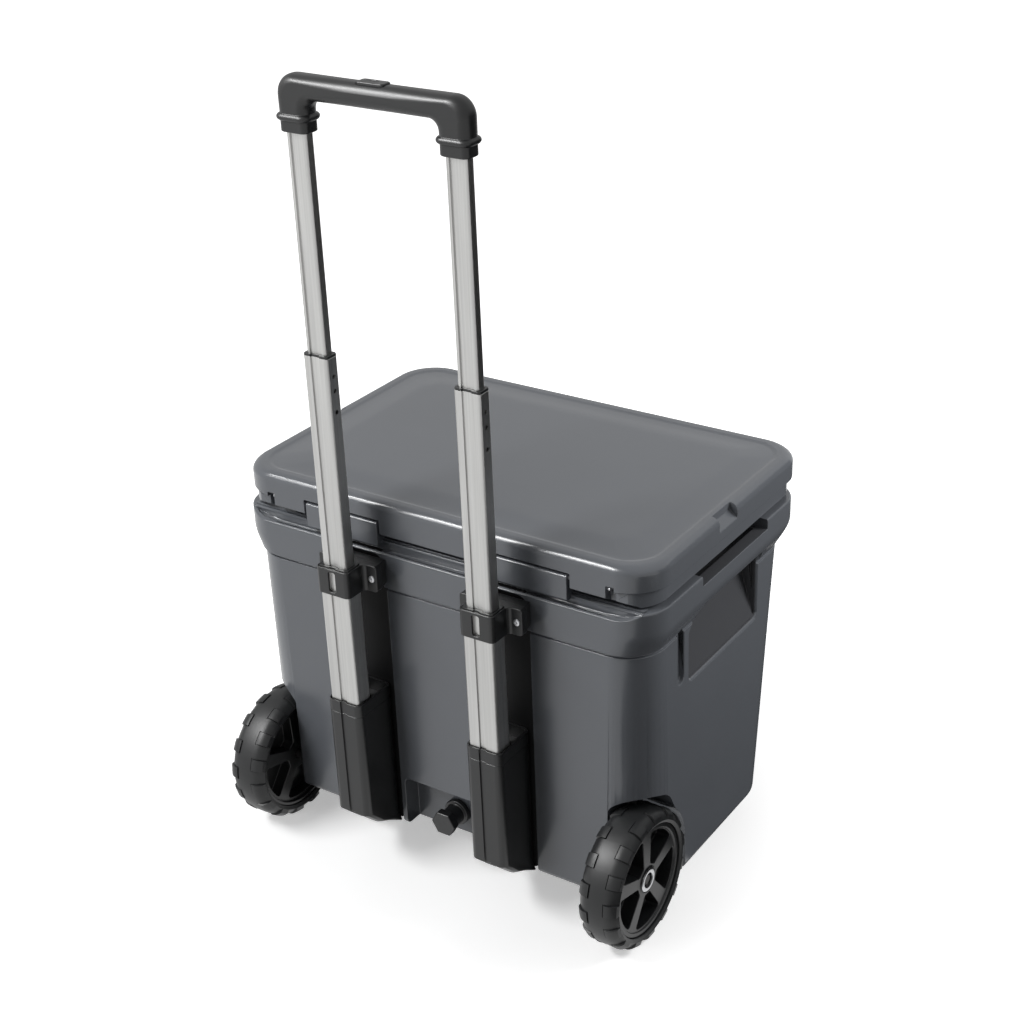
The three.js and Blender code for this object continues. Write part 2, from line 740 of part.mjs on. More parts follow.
piece('lid_skin', buildLid(), charcoalPlastic);
piece('lid_foam', lidCore(skinWall + gap), foam);
const lidPlugTop = lidBottom - plugDrop + skinWall;
piece('lid_fill_plug', lidFillRod(fillRadius - gap, lidPlugTop - skinWall - 1, lidPlugTop), blackPlastic);
piece('lid_gasket', gasketRing(0, deck + gap, deck + gap + gasketHeight), rubber);

for (const [name, side] of sides) {
  const [x0, x1] = side > 0 ? [pinInnerEnd, pinOuterEnd] : [-pinOuterEnd, -pinInnerEnd];
  piece(`hinge_pin_${name}`, rodAlongX(x0, x1, hingeY, hingeZ, pinRadius, 20), steel);
}

// ---------------------------------------------------------------- handle tubes

// Section of a tube about its own middle, with the groove in its rear face, moved inwards by a margin.
function tubeShape(tube, margin) {
  const half = tube.width / 2 - margin;
  const deep = tube.depth / 2 - margin;
  const r = Math.max(tube.corner - margin, 0.6);
  const mouth = tube.groove / 2 + margin;
  const floor = -deep + tube.grooveDepth;
  const slant = tube.grooveDepth * 0.4;
  const shape = new THREE.Shape();
  shape.moveTo(-half + r, -deep);
  shape.lineTo(-mouth, -deep);
  shape.lineTo(-mouth + slant, floor);
  shape.lineTo(mouth - slant, floor);
  shape.lineTo(mouth, -deep);
  shape.lineTo(half - r, -deep);
  shape.absarc(half - r, -deep + r, r, -Math.PI / 2, 0, false);
  shape.absarc(half - r, deep - r, r, 0, Math.PI / 2, false);
  shape.absarc(-half + r, deep - r, r, Math.PI / 2, Math.PI, false);
  shape.absarc(-half + r, -deep + r, r, Math.PI, Math.PI * 1.5, false);
  return shape;
}

function tubeSolid(tube, margin, z0, z1) {
  return solid(alongZ(tubeShape(tube, margin), z0, z1, 2));
}

function tubeWithWall(tube, z0, z1) {
  return cut(tubeSolid(tube, 0, z0, z1), tubeSolid(tube, tube.wall, z0 - 5, z1 + 5));
}

// Plastic bushing in the top of a tube, guiding the next one.
function bushing(tube, next, top) {
  const sleeve = tubeSolid(tube, tube.wall + gap, top - bushingSleeve, top + bushingLip);
  const lip = tubeSolid(tube, 0, top + gap, top + bushingLip);
  return cut(join(sleeve, lip), tubeSolid(next, -slideGap, top - bushingSleeve - 5, top + bushingLip + 5));
}

const middleTop = tubeTop + middleOut;
const upperBottom = middleTop - upperTravelRest;
const collarBottom = middleTop + bushingLip + upperOut + 2.5;
const gripTop = collarBottom + gripHeight;
const upperTop = collarBottom + collarHeight + beadHeight;

for (const [name, side] of sides) {
  const column = new THREE.Group();
  column.position.set(side * tubeSpacing / 2, tubeMiddle, 0);
  cooler.add(column);
  const middle = cut(
    tubeWithWall(middleTube, middleTop - middleTube.length, middleTop),
    ...indexHoles.map((down) => solid(rodAlongX(0, middleTube.width, 0, middleTop - down, indexHole, 8))),
  );
  const outer = tubeWithWall(outerTube, tubeTop - outerTube.length, tubeTop);
  piece(`outer_tube_${name}`, outer, aluminium, column);
  piece(`outer_bushing_${name}`, bushing(outerTube, middleTube, tubeTop), blackPlastic, column);
  piece(`middle_tube_${name}`, middle, aluminium, column);
  piece(`middle_bushing_${name}`, bushing(middleTube, upperTube, middleTop), blackPlastic, column);
  piece(`upper_tube_${name}`, tubeWithWall(upperTube, upperBottom, upperTop), aluminium, column);
}

// ---------------------------------------------------------------- grip and its button

// Front outline of the grip: a bar with two legs, round at the outer and inner corners.
function gripShape() {
  const outer = tubeSpacing / 2 + legWidth / 2;
  const inner = tubeSpacing / 2 - legWidth / 2;
  const legFoot = collarBottom + collarHeight + beadHeight * 0.5;
  const barFoot = gripTop - barHeight;
  const shape = new THREE.Shape();
  shape.moveTo(-outer, legFoot);
  shape.lineTo(-inner, legFoot);
  shape.lineTo(-inner, barFoot - gripInnerRound);
  shape.absarc(-inner + gripInnerRound, barFoot - gripInnerRound, gripInnerRound, Math.PI, Math.PI / 2, true);
  shape.lineTo(inner - gripInnerRound, barFoot);
  shape.absarc(inner - gripInnerRound, barFoot - gripInnerRound, gripInnerRound, Math.PI / 2, 0, true);
  shape.lineTo(inner, legFoot);
  shape.lineTo(outer, legFoot);
  shape.lineTo(outer, gripTop - gripOuterRound);
  shape.absarc(outer - gripOuterRound, gripTop - gripOuterRound, gripOuterRound, 0, Math.PI / 2, false);
  shape.lineTo(-outer + gripOuterRound, gripTop);
  const cornerX = -outer + gripOuterRound;
  shape.absarc(cornerX, gripTop - gripOuterRound, gripOuterRound, Math.PI / 2, Math.PI, false);
  return shape;
}

function buildGrip() {
  const edge = gripEdge;
  const geometry = new THREE.ExtrudeGeometry(gripShape(), {
    depth: barDepth - edge * 2, curveSegments: 3,
    bevelThickness: edge, bevelSize: edge, bevelOffset: -edge, bevelSegments: 2,
  });
  geometry.rotateX(Math.PI / 2).translate(0, tubeMiddle + barDepth / 2 - edge, 0);
  let grip = solid(geometry);
  const [rear, front] = [tubeMiddle - barDepth / 2, tubeMiddle + barDepth / 2];
  for (const [, side] of sides) {
    const x = side * tubeSpacing / 2;
    const half = legWidth / 2;
    const ring = (out) => roundRect(x - half - out, x + half + out, rear - out, front + out, gripEdge);
    const [bead, collar] = [ring(beadProud), ring(-collarStep)];
    const beadFoot = collarBottom + collarHeight;
    const hole = tubeSolid(upperTube, -gap, collarBottom - 5, upperTop + gap).translate([x, tubeMiddle, 0]);
    grip = join(grip, solid(alongZ(bead, beadFoot, beadFoot + beadHeight)));
    grip = join(grip, solid(alongZ(collar, collarBottom, beadFoot + over)));
    grip = cut(grip, hole);
  }
  const well = roundRect(
    -buttonWidth / 2 - slideGap, buttonWidth / 2 + slideGap,
    tubeMiddle - buttonDepth / 2 - slideGap, tubeMiddle + buttonDepth / 2 + slideGap, 4 + slideGap,
  );
  return cut(grip, solid(alongZ(well, springSeat, gripTop + far)));
}

const buttonFloor = gripTop + buttonProud - buttonHeight;
const springSeat = buttonFloor - buttonTravel - springWire;
piece('grip', buildGrip(), blackPlastic);
const buttonOutline = roundRect(
  -buttonWidth / 2, buttonWidth / 2, tubeMiddle - buttonDepth / 2, tubeMiddle + buttonDepth / 2, 4,
);
piece('release_button', alongZ(buttonOutline, buttonFloor, gripTop + buttonProud, 4), blackPlastic);

// Coil spring under the button.
class Helix extends THREE.Curve {
  getPoint(t) {
    const angle = t * springTurns * Math.PI * 2;
    const low = springSeat + gap + springWire / 2;
    const high = buttonFloor - gap - springWire / 2;
    return new THREE.Vector3(
      springRadius * Math.cos(angle), tubeMiddle + springRadius * Math.sin(angle), low + (high - low) * t,
    );
  }
}
const wireSection = new THREE.Shape().absarc(0, 0, springWire / 2, 0, Math.PI * 2, false);
piece('button_spring', solid(new THREE.ExtrudeGeometry(wireSection, {
  steps: springTurns * 10, extrudePath: new Helix(), curveSegments: 5,
})), steel);

// ---------------------------------------------------------------- backing rails, sockets and clamps

const recessFloor = tubRear + recessDepth;
const railFace = recessFloor - gap - railThickness;

function buildSocket(x) {
  const out = outerTube.width / 2 + gap + socketSide;
  const front = -socketWall;
  const back = railFace - gap;
  const outline = polygon([
    [front, socketTop], [front, socketFoot], [front + socketToe, socketFoot - socketToe],
    [back, socketHeel], [back, socketTop],
  ]);
  const body = solid(alongX(outline, x - out, x + out));
  const tubeFoot = tubeTop - outerTube.length - gap;
  const bore = tubeSolid(outerTube, -gap, tubeFoot, socketTop + over).translate([x, tubeMiddle, 0]);
  const grooveHalf = outerTube.groove / 2;
  const grooveFloor = front + outerTube.grooveDepth;
  const [left, right] = [x - grooveHalf, x + grooveHalf];
  const groove = block(left, right, front - over, grooveFloor, socketHeel, socketTop + over);
  const seamTop = socketTop - socketSeam;
  const [wide, deep] = [out + over, out - seamSize];
  const around = block(x - wide, x + wide, front - over, back + over, seamTop - seamSize, seamTop);
  const inside = block(x - deep, x + deep, front + seamSize, back + far, socketHeel, socketTop);
  return largest(cut(body, bore, groove, cut(around, inside)));
}

// A screw about an axis along y, with its head towards the rear.
function screw(x, z, headRear, headLength, shankEnd) {
  const headFront = headRear + headLength;
  const points = [
    [0, headRear], [screwRadius * 0.8, headRear], [screwRadius, headRear + gap], [screwRadius, headFront],
    [screwRadius / 2, headFront], [screwRadius / 2, shankEnd], [0, shankEnd],
  ];
  const geometry = new THREE.LatheGeometry(points.map(([r, y]) => new THREE.Vector2(r, y)), 12);
  return geometry.translate(x, 0, z);
}

const saddleFront = -clampWall;
const earRear = outerTube.depth + clampWall / 2;
const earFront = earRear + earThickness;
const saddleHalf = outerTube.width / 2 + clampWall;
const earHalf = saddleHalf + earReach - clampWall;
const clampBottom = clampTop - clampHeight;
const clampMiddle = (clampTop + clampBottom) / 2;
const bracketFront = rimRearFace - gap;
const screwX = outerTube.width / 2 + screwReach;

function clampScrewHole(x) {
  const end = earFront + gap * 2 + screwHold;
  return solid(rodAlongY(x, earRear - over, end, clampMiddle, screwRadius / 2 + gap, 12));
}

function buildClamp(x) {
  const saddle = roundRect(x - saddleHalf, x + saddleHalf, saddleFront, earFront, 6);
  const [earFoot, earHead] = [clampMiddle - earHeight / 2, clampMiddle + earHeight / 2];
  const ears = roundRect(x - earHalf, x + earHalf, earFoot, earHead, earCorner);
  const body = join(solid(alongZ(saddle, clampBottom, clampTop)), solid(alongY(ears, earRear, earFront)));
  const bore = tubeSolid(outerTube, -gap, clampBottom - far, clampTop + far).translate([x, tubeMiddle, 0]);
  const [windowHalf, windowEdge] = [clampWindow / 2, clampHeight / 9];
  const [windowFoot, windowHead] = [clampBottom + windowEdge, clampTop - windowEdge];
  const window = block(
    x - windowHalf, x + windowHalf, saddleFront - over, clampWindow / 2, windowFoot, windowHead,
  );
  return cut(body, bore, window, clampScrewHole(x - screwX), clampScrewHole(x + screwX));
}

function buildBracket(x) {
  const outline = polygon([
    [x - bracketHalf, earFront + gap], [x + bracketHalf, earFront + gap],
    [x + bracketHalf - bracketTaper, bracketFront], [x - bracketHalf + bracketTaper, bracketFront],
  ]);
  const body = solid(alongZ(outline, clampBottom, clampTop - clampWall));
  return cut(body, clampScrewHole(x - screwX), clampScrewHole(x + screwX));
}

for (const [name, side] of sides) {
  const x = side * tubeSpacing / 2;
  const railHalf = recessHalf - gap;
  const rail = roundRect(x - railHalf, x + railHalf, tubBottom + clampWall, recessTop - gap, recessCorner);
  piece(`handle_rail_${name}`, alongY(rail, railFace, recessFloor - gap), blackPlastic);
  piece(`socket_${name}`, buildSocket(x), blackPlastic);
  piece(`tube_clamp_${name}`, buildClamp(x), blackPlastic);
  piece(`clamp_bracket_${name}`, buildBracket(x), blackPlastic);
  for (const [end, way] of [['inner', -side], ['outer', side]]) {
    const headRear = earRear - gap - screwHead;
    const shape = screw(x + way * screwX, clampMiddle, headRear, screwHead, earFront + gap + screwHold);
    piece(`clamp_screw_${name}_${end}`, shape, steel);
  }
}

// ---------------------------------------------------------------- drain

const drainFace = tubRear - rearDraft + drainDepth;
const gasketRear = drainFace - gap - drainSeal;
const flangeRear = gasketRear - gap - drainRim;
const drainEnd = drainFace - drainReach;
const drainSection = [
  [0, drainEnd + 1], [drainNeck, drainEnd + 1], [drainNeck, flangeRear],
  [drainFlange, flangeRear], [drainFlange, gasketRear - gap],
  [drainBore - gap, gasketRear - gap], [drainBore - gap, tubRear + tubWall], [0, tubRear + tubWall],
];
const hexRadius = drainHex / Math.sqrt(3);
const hexHead = rodAlongY(0, drainEnd, drainEnd + drainHexDepth, drainHeight, hexRadius, 6);
const drainBody = new THREE.LatheGeometry(drainSection.map(([r, y]) => new THREE.Vector2(r, y)), 24);
piece('drain_plug', join(solid(drainBody.translate(0, 0, drainHeight)), solid(hexHead)), blackPlastic);
const sealRing = new THREE.Shape().absarc(0, drainHeight, drainFlange - 1, 0, Math.PI * 2, false);
sealRing.holes.push(new THREE.Path().absarc(0, drainHeight, drainBore, 0, Math.PI * 2, true));
piece('drain_gasket', alongY(sealRing, gasketRear, gasketRear + drainSeal, 12), rubber);

// ---------------------------------------------------------------- wheels

// Tyre about the x axis: a smooth middle band, a rounded shoulder and two rows of block lugs.
function buildTyre() {
  const side = wheelWidth / 2;
  const shoulder = wheelRadius - lugHeight;
  const profile = [
    [-side, hubRadius + gap], [side, hubRadius + gap], [side, wheelRadius - 11],
    [side - 9, shoulder], [bandWidth / 2, wheelRadius], [-bandWidth / 2, wheelRadius],
    [-side + 9, shoulder], [-side, wheelRadius - 11], [-side, hubRadius + gap],
  ];
  let tyre = solid(turnedAlongX(profile, 36));
  for (let i = 0; i < lugCount * 2; i += 1) {
    const way = i % 2 ? 1 : -1;
    const outline = polygon([
      [way * (side - lugWidth), wheelRadius - 8], [way * (side - lugWidth), wheelRadius - 0.6],
      [way * (side - 6), wheelRadius - 1.2], [way * (side - 0.5), wheelRadius - 7],
    ]);
    const lug = alongY(outline, -lugLength / 2, lugLength / 2).rotateX((Math.PI / lugCount) * i);
    tyre = tyre.add(solid(lug));
  }
  return tyre;
}

// Window between two spokes of the hub: narrow at the boss and wide at the rim.
function hubWindow(angle) {
  const [inner, outer] = [hubBoss + 2, hubRadius - hubRim];
  const spread = Math.PI / spokeCount - spokeWidth / 2 / outer;
  const tight = Math.PI / spokeCount - spokeWidth / 2 / inner * spokeTaper;
  const at = (radius, turn) => [radius * Math.cos(turn), radius * Math.sin(turn)];
  const shape = new THREE.Shape();
  shape.moveTo(...at(inner, -tight));
  shape.lineTo(...at(outer - 4, -spread));
  shape.lineTo(...at(outer, -spread + 0.08));
  shape.absarc(0, 0, outer, -spread + 0.08, spread - 0.08, false);
  shape.lineTo(...at(outer - 4, spread));
  shape.lineTo(...at(inner, tight));
  return solid(alongX(shape, -wheelWidth, wheelWidth, 3).rotateX(angle));
}

// Hub about the x axis, outer face towards +x.
function buildHub() {
  const half = hubWidth / 2;
  const bore = axleRadius + slideGap;
  const webInner = webOuter - webThickness;
  const profile = [
    [-half, bore], [half - ringThickness - gap, bore], [half - ringThickness - gap, ringOuter + gap],
    [half, ringOuter + gap], [half, hubBoss], [webOuter, hubBoss + 1], [webOuter, hubRadius - hubRim + 1],
    [half, hubRadius - hubRim + 3], [half, hubRadius], [-half, hubRadius], [-half, hubRadius - hubRim + 3],
    [webInner, hubRadius - hubRim + 1], [webInner, hubBoss], [-half, hubBoss], [-half, bore],
  ];
  const sheet = block(-webMiddle / 2, webMiddle / 2, -hubRadius, hubRadius, -hubRadius, hubRadius);
  const windows = [];
  for (let i = 0; i < spokeCount; i += 1) {
    windows.push(cut(hubWindow(Math.PI * 1.5 + (Math.PI * 2 * i) / spokeCount), sheet));
  }
  return cut(solid(turnedAlongX(profile, 32)), ...windows);
}

for (const [name, side] of sides) {
  const wheel = new THREE.Group();
  wheel.position.set(side * wheelX, wheelY, wheelRadius);
  if (side < 0) wheel.rotation.z = Math.PI;
  cooler.add(wheel);
  const half = hubWidth / 2;
  const ringProfile = [
    [half - ringThickness, ringInner], [half, ringInner], [half, ringOuter - 1], [half - 1, ringOuter],
    [half - ringThickness, ringOuter], [half - ringThickness, ringInner],
  ];
  piece(`tyre_${name}`, buildTyre(), tyreRubber, wheel);
  piece(`hub_${name}`, buildHub(), blackPlastic, wheel);
  piece(`hub_ring_${name}`, turnedAlongX(ringProfile, 24), steel, wheel);
  const axleStart = wellInner - axleHold - wheelX;
  piece(`axle_${name}`, rodAlongX(axleStart, half - 2, 0, 0, axleRadius, 20), steel, wheel);
}

// ---------------------------------------------------------------- front feet and latches

for (const [name, side] of sides) {
  const front = tubFront - frontDraft - footSetback + footLength;
  const level = (z, shrink) => ({
    z, half: footWidth / 2 - shrink, rear: front - footLength + shrink, front: front - shrink, corner: 10,
  });
  const foot = stack([level(0, 4), level(4, 2), level(tubBottom - gap, 0)], 3);
  piece(`foot_${name}`, foot.translate([side * footX, 0, 0]), rubber);

  const middle = side * latchX;
  const latch = new THREE.Shape();
  latch.moveTo(latchY + latchThickness / 2, latchZ);
  latch.absarc(latchY, latchZ, latchThickness / 2, 0, Math.PI, false);
  latch.lineTo(latchY - latchThickness / 2, latchZ - latchHeight);
  latch.lineTo(latchY + latchThickness / 2 + latchLip, latchZ - latchHeight);
  latch.lineTo(latchY + latchThickness / 2, latchZ - latchHeight + latchLip * 5);
  latch.holes.push(new THREE.Path().absarc(latchY, latchZ, latchPinRadius + slideGap, 0, Math.PI * 2, true));
  piece(`latch_${name}`, alongX(latch, middle - latchWidth / 2, middle + latchWidth / 2, 6), rubber);
  const pinReach = latchWidth / 2 + slideGap + latchEar;
  const pin = rodAlongX(middle - pinReach, middle + pinReach, latchY, latchZ, latchPinRadius, 12);
  piece(`latch_pin_${name}`, pin, steel);
}

// ---------------------------------------------------------------- overall place

const rearmost = wheelY - wheelRadius;
const foremost = latchY + latchThickness / 2 + latchLip;
cooler.position.y = -(rearmost + foremost) / 2;

export default cooler;
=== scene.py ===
import math

import bmesh
import bpy
import numpy as np
from mathutils import Matrix, Vector


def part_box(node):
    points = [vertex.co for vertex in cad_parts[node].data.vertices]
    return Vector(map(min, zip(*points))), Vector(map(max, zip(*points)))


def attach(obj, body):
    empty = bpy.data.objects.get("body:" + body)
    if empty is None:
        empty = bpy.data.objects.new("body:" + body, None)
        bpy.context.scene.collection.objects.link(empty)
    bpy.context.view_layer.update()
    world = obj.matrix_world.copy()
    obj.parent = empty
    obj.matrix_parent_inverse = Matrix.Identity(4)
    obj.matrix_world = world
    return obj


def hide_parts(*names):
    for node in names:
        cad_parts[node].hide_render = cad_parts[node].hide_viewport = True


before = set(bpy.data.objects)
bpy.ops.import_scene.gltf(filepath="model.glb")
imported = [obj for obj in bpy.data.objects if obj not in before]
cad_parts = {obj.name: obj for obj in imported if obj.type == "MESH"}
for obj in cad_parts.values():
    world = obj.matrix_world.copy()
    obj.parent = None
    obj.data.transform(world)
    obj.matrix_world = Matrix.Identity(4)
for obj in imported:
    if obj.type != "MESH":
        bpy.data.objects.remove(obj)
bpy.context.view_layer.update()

# ---------------------------------------------------------------------------------------------
# Tub. One hollow moulding of charcoal polyethylene, filled with foam, with a flared rim, a hand
# pocket in each end, channels for the handle, wells for the wheels and blocks for the hinge.
# Every other piece is fixed to it. Sizes are in millimetres, depths from the tubes' rear face.

tubes_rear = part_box("outer_tube_left")[0].y
tub_foot, deck, rim_foot = 44.0, 452.0, 395.0
tub_half, tub_rear, tub_front = 290.0, 60.0, 429.0
tub_corner, foot_round, deck_round = 50.0, 9.0, 2.6
rear_lean, front_lean = 2.0, 41.0
rim_half, rim_rear, rim_front, rim_flare = 300.0, 55.5, 450.0, 30.0
wheel_radius, wheel_depth = 88.9, 66.0
well_radius, well_inner = 92.5, 238.7
tube_spacing = 208.0


def rows(*columns):
    """Table or grid with these columns, in which a plain number fills its whole column."""
    return np.stack(np.broadcast_arrays(*columns), -1)


def on_circle(centre, radius, degrees):
    """Points about a centre: the radius times the cosine and the sine of each angle."""
    angle = np.radians(degrees)
    return centre + radius * rows(np.cos(angle), np.sin(angle))


def skin(rings, wrap=False):
    """Closed skin over a grid of points with one ring to a row: a quad spans each pair of
    neighbours in two neighbouring rings, and a flat cap closes each end, or the last ring
    meets the first."""
    count, around = rings.shape[:2]
    number = np.arange(count * around).reshape(count, around)
    lower = number if wrap else number[:-1]
    upper = np.roll(number, -1, 0) if wrap else number[1:]
    quads = rows(lower, np.roll(lower, -1, 1), np.roll(upper, -1, 1), upper)
    ends = [] if wrap else [number[0, ::-1], number[-1]]
    return rings.reshape(-1, 3), quads.reshape(-1, 4), ends


def stacked(levels, steps=16, middle=0.0):
    """Skin through rounded rectangles one above another. A row of levels gives the height, half
    width, rear, front and corner radius; each corner is a quarter turn about its own centre."""
    z, half, rear, front, corner = (v[:, None, None] for v in np.array(levels, float).T)
    turn = np.radians(np.arange(4)[:, None] * 90 - 90 + np.linspace(0, 90, steps + 1))
    x = np.array([1, 1, -1, -1])[:, None] * (half - corner) + corner * np.cos(turn)
    y = np.concatenate([rear + corner, front - corner, front - corner, rear + corner], 1)
    y = y + corner * np.sin(turn)
    return skin(rows(x + middle, y, z).reshape(len(z), -1, 3))


def pushed(outline, stations, axis):
    """Skin of a flat outline carried along one axis through the stations. The outline's columns
    are the two other axes, and it may differ from station to station."""
    stations = np.array(stations, float)
    outline = np.broadcast_to(outline, (len(stations), *np.shape(outline)[-2:]))
    columns = [outline[..., 0], outline[..., 1]]
    columns.insert(axis, stations[:, None])
    return skin(rows(*columns))


def softened(corners, radius, grow=0.0, steps=5):
    """Convex outline with round corners: each arc turns, from one edge's outward direction to
    the next one's, about a centre one radius inside both edges. Grow moves it all outwards."""
    point = np.array(corners, float)
    edge = np.roll(point, -1, 0) - point
    edge /= np.linalg.norm(edge, axis=1, keepdims=True)
    after = rows(edge[:, 1], -edge[:, 0])
    before = np.roll(after, 1, 0)
    cosine = (before * after).sum(1)
    sine = before[:, 0] * after[:, 1] - before[:, 1] * after[:, 0]
    centre = point - radius * (before + after) / (1 + cosine)[:, None]
    start = np.arctan2(before[:, 1], before[:, 0])
    angle = start[:, None] + np.arctan2(sine, cosine)[:, None] * np.linspace(0, 1, steps + 1)
    arc = rows(np.cos(angle), np.sin(angle)) * (radius + grow)
    return (centre[:, None] + arc).reshape(-1, 2)


def rectangle(u0, u1, v0, v1):
    """Corners of a rectangle between two places along each of its two directions."""
    return np.array([[u0, v0], [u1, v0], [u1, v1], [u0, v1]])


def block(x0, x1, y0, y1, z0, z1):
    """Square-edged space between two places along each direction, to cut away."""
    return pushed(rectangle(y0, y1, z0, z1), (x0, x1), 0)


def dished(corners, radius, lip, axis, steps=5):
    """Skin of an outline with round corners that spreads or shrinks on its way along an axis: the
    rows of lip give the place and how far the outline has grown there."""
    outlines = [softened(corners, radius, grow, steps) for place, grow in lip]
    return pushed(outlines, [place for place, grow in lip], axis)


def swapped(part, side):
    """The same skin for the right side, or its mirror image for the left side, which is -1."""
    points, quads, ends = part
    return points * [side, 1, 1], quads, ends


def put(name, data):
    """New object with this data, linked to the scene."""
    made = bpy.data.objects.new(name, data)
    bpy.context.scene.collection.objects.link(made)
    return made


def make(name, *parts):
    """One object from closed skins in millimetres, set in the frame in metres, faces outwards."""
    points, faces, start = [], [], 0
    for corners, quads, ends in parts:
        points.append(corners)
        faces += (quads + start).tolist() + [(end + start).tolist() for end in ends]
        start += len(corners)
    mesh = bpy.data.meshes.new(name)
    placed = np.concatenate(points) * 0.001 + [0, tubes_rear, 0]
    mesh.from_pydata(placed.tolist(), [], faces)
    work = bmesh.new()
    work.from_mesh(mesh)
    bmesh.ops.remove_doubles(work, verts=work.verts, dist=1e-6)
    bmesh.ops.recalc_face_normals(work, faces=work.faces)
    work.to_mesh(mesh)
    work.free()
    return put(name, mesh)


def settle(body):
    """Leaves the outcome of a body's modifiers as its own mesh."""
    bpy.context.view_layer.update()
    graph = bpy.context.evaluated_depsgraph_get()
    finished = bpy.data.meshes.new_from_object(body.evaluated_get(graph))
    body.modifiers.clear()
    body.data = finished


def carve(body, *parts, operation="DIFFERENCE"):
    """Cuts closed skins or objects out of a body one after another, or joins them to it."""
    for part in parts:
        tool = part if isinstance(part, bpy.types.Object) else make("tool", part)
        step = body.modifiers.new("carve", "BOOLEAN")
        step.operation = operation
        step.solver = "MANIFOLD"
        step.object = tool
        settle(body)
        bpy.data.objects.remove(tool)
    return body


def round_edges(body, width, angle=40.0, smooth=48.0):
    """Joins points within a tenth of a millimetre and faces within a degree of each other, rounds
    every edge that is sharper than an angle, then shades curves smooth and flats flat."""
    work = bmesh.new()
    work.from_mesh(body.data)
    bmesh.ops.remove_doubles(work, verts=work.verts, dist=0.0001)
    bmesh.ops.dissolve_limit(work, angle_limit=math.radians(1.0), verts=work.verts, edges=work.edges)
    work.to_mesh(body.data)
    work.free()
    if width:
        edge = body.modifiers.new("edges", "BEVEL")
        edge.width = width * 0.001
        edge.segments = 2
        edge.limit_method = "ANGLE"
        edge.angle_limit = math.radians(angle)
        edge.use_clamp_overlap = False
        edge.miter_outer = "MITER_ARC"
        settle(body)
    return shade(body, smooth)


def shade(body, angle=40.0):
    """Smooth shading across edges up to an angle, with the large faces left looking flat."""
    body.data.shade_smooth()
    body.data.set_sharp_from_angle(angle=math.radians(angle))
    normals = body.modifiers.new("normals", "WEIGHTED_NORMAL")
    normals.keep_sharp = True
    normals.weight = 60
    settle(body)
    return body


def tub_wall(z, shrink, corner):
    """Levels of the plain wall. Its rear and front lean in by their share of the way down from
    the rim to the foot."""
    down = (rim_foot - z) / (rim_foot - tub_foot)
    rear = tub_rear - rear_lean * down + shrink
    front = tub_front - front_lean * down - shrink
    return rows(z, tub_half - shrink, rear, front, corner)


# The foot is a quarter turn. The wall steps in just under the rim, which draws a shadow line all
# round. The rim starts a lip's width further out and flares as a sine does.
turn = np.radians(np.linspace(0, 90, 7))
foot_levels = tub_wall(
    tub_foot + foot_round * (1 - np.cos(turn)),
    foot_round * (1 - np.sin(turn)),
    tub_corner + foot_round * np.sin(turn),
)
wall_foot, step_foot, step_top, step_in = tub_foot + 2 * foot_round, rim_foot - 5.0, rim_foot - 4.6, 2.4
wall_z = np.append(np.linspace(wall_foot, step_foot, 5), [step_top, rim_foot])
wall_corner = tub_corner + foot_round * (rim_foot - wall_z) / (rim_foot - wall_foot)
wall_levels = tub_wall(wall_z, np.where(wall_z > step_foot, step_in, 0.0), wall_corner)
rim_lip = 0.8
flare = np.array([0, 0.02, 0.045, 0.085, 0.2, 0.35, 0.5, 0.67, 0.83, 1])
bulge = np.sin(flare * np.pi / 2) ** 1.2
rim_levels = rows(
    rim_foot + rim_lip + (rim_flare - rim_lip) * flare,
    tub_half + rim_lip + (rim_half - tub_half - rim_lip) * bulge,
    rim_rear,
    tub_front + rim_lip + (rim_front - tub_front - rim_lip) * bulge,
    tub_corner,
)
deck_in = deck_round * (1 - np.cos(turn))
deck_levels = rows(
    deck - deck_round * (1 - np.sin(turn)),
    rim_half - deck_in,
    rim_rear + deck_in,
    rim_front - deck_in,
    tub_corner - deck_in,
)
tub = make("tub_body", stacked(np.concatenate([foot_levels, wall_levels, rim_levels, deck_levels]), 20))


def arch(grow, side, steps=40):
    """Space round a wheel. Its radius hugs the tyre in front and grows by a smooth step of the
    angle over the top and the rear, more so further out. Straight legs go down to the floor."""
    reach = (well_inner - grow, 240.4, 243.5, 248, 256, 268, 282, 340)
    headroom = np.array([-6.5, -2.5, 1.0, 4.8, 9.5, 13.0, 14.5, 14.5])[:, None]
    step_starts, step_turn = 42.0, 25.0
    angle = np.linspace(0, 180, steps + 1)
    ease = np.clip((angle - step_starts) / step_turn, 0, 1)
    radius = well_radius + grow + headroom * ease * ease * (3 - 2 * ease)
    roof = on_circle([wheel_depth, wheel_radius], radius[..., None], angle)
    legs = roof[:, [-1, 0]] * [1, 0] + [0, 20]
    return swapped(pushed(np.concatenate([roof, legs], 1), reach, 0), side)


# The inside is open upwards. It leaves a wall round the wheel wells and has a sump at the drain.
floor_round, inside_half, inside_floor, floor_half, well_wall = 10.0, 244.0, 96.0, 238.0, 28.0
inside_rear, inside_front, floor_front, inside_corner = 106.0, 394.5, 347.5, 26.0
rise = np.radians(np.linspace(0, 90, 6))
floor_in = floor_round * (1 - np.sin(rise))
inside_levels = rows(
    inside_floor + floor_round * (1 - np.cos(rise)),
    floor_half - floor_in,
    inside_rear + floor_in,
    floor_front - floor_in,
    inside_corner,
)
inside_mouth = (470, inside_half, inside_rear, inside_front, inside_corner)
inside = make("tool", stacked([*inside_levels, inside_mouth], 10))
carve(inside, arch(well_wall, 1), arch(well_wall, -1))
sump = softened(rectangle(-30, 30, inside_rear, 156), 6)
carve(inside, pushed(sump, (60, 100), 2), operation="UNION")
carve(tub, inside)

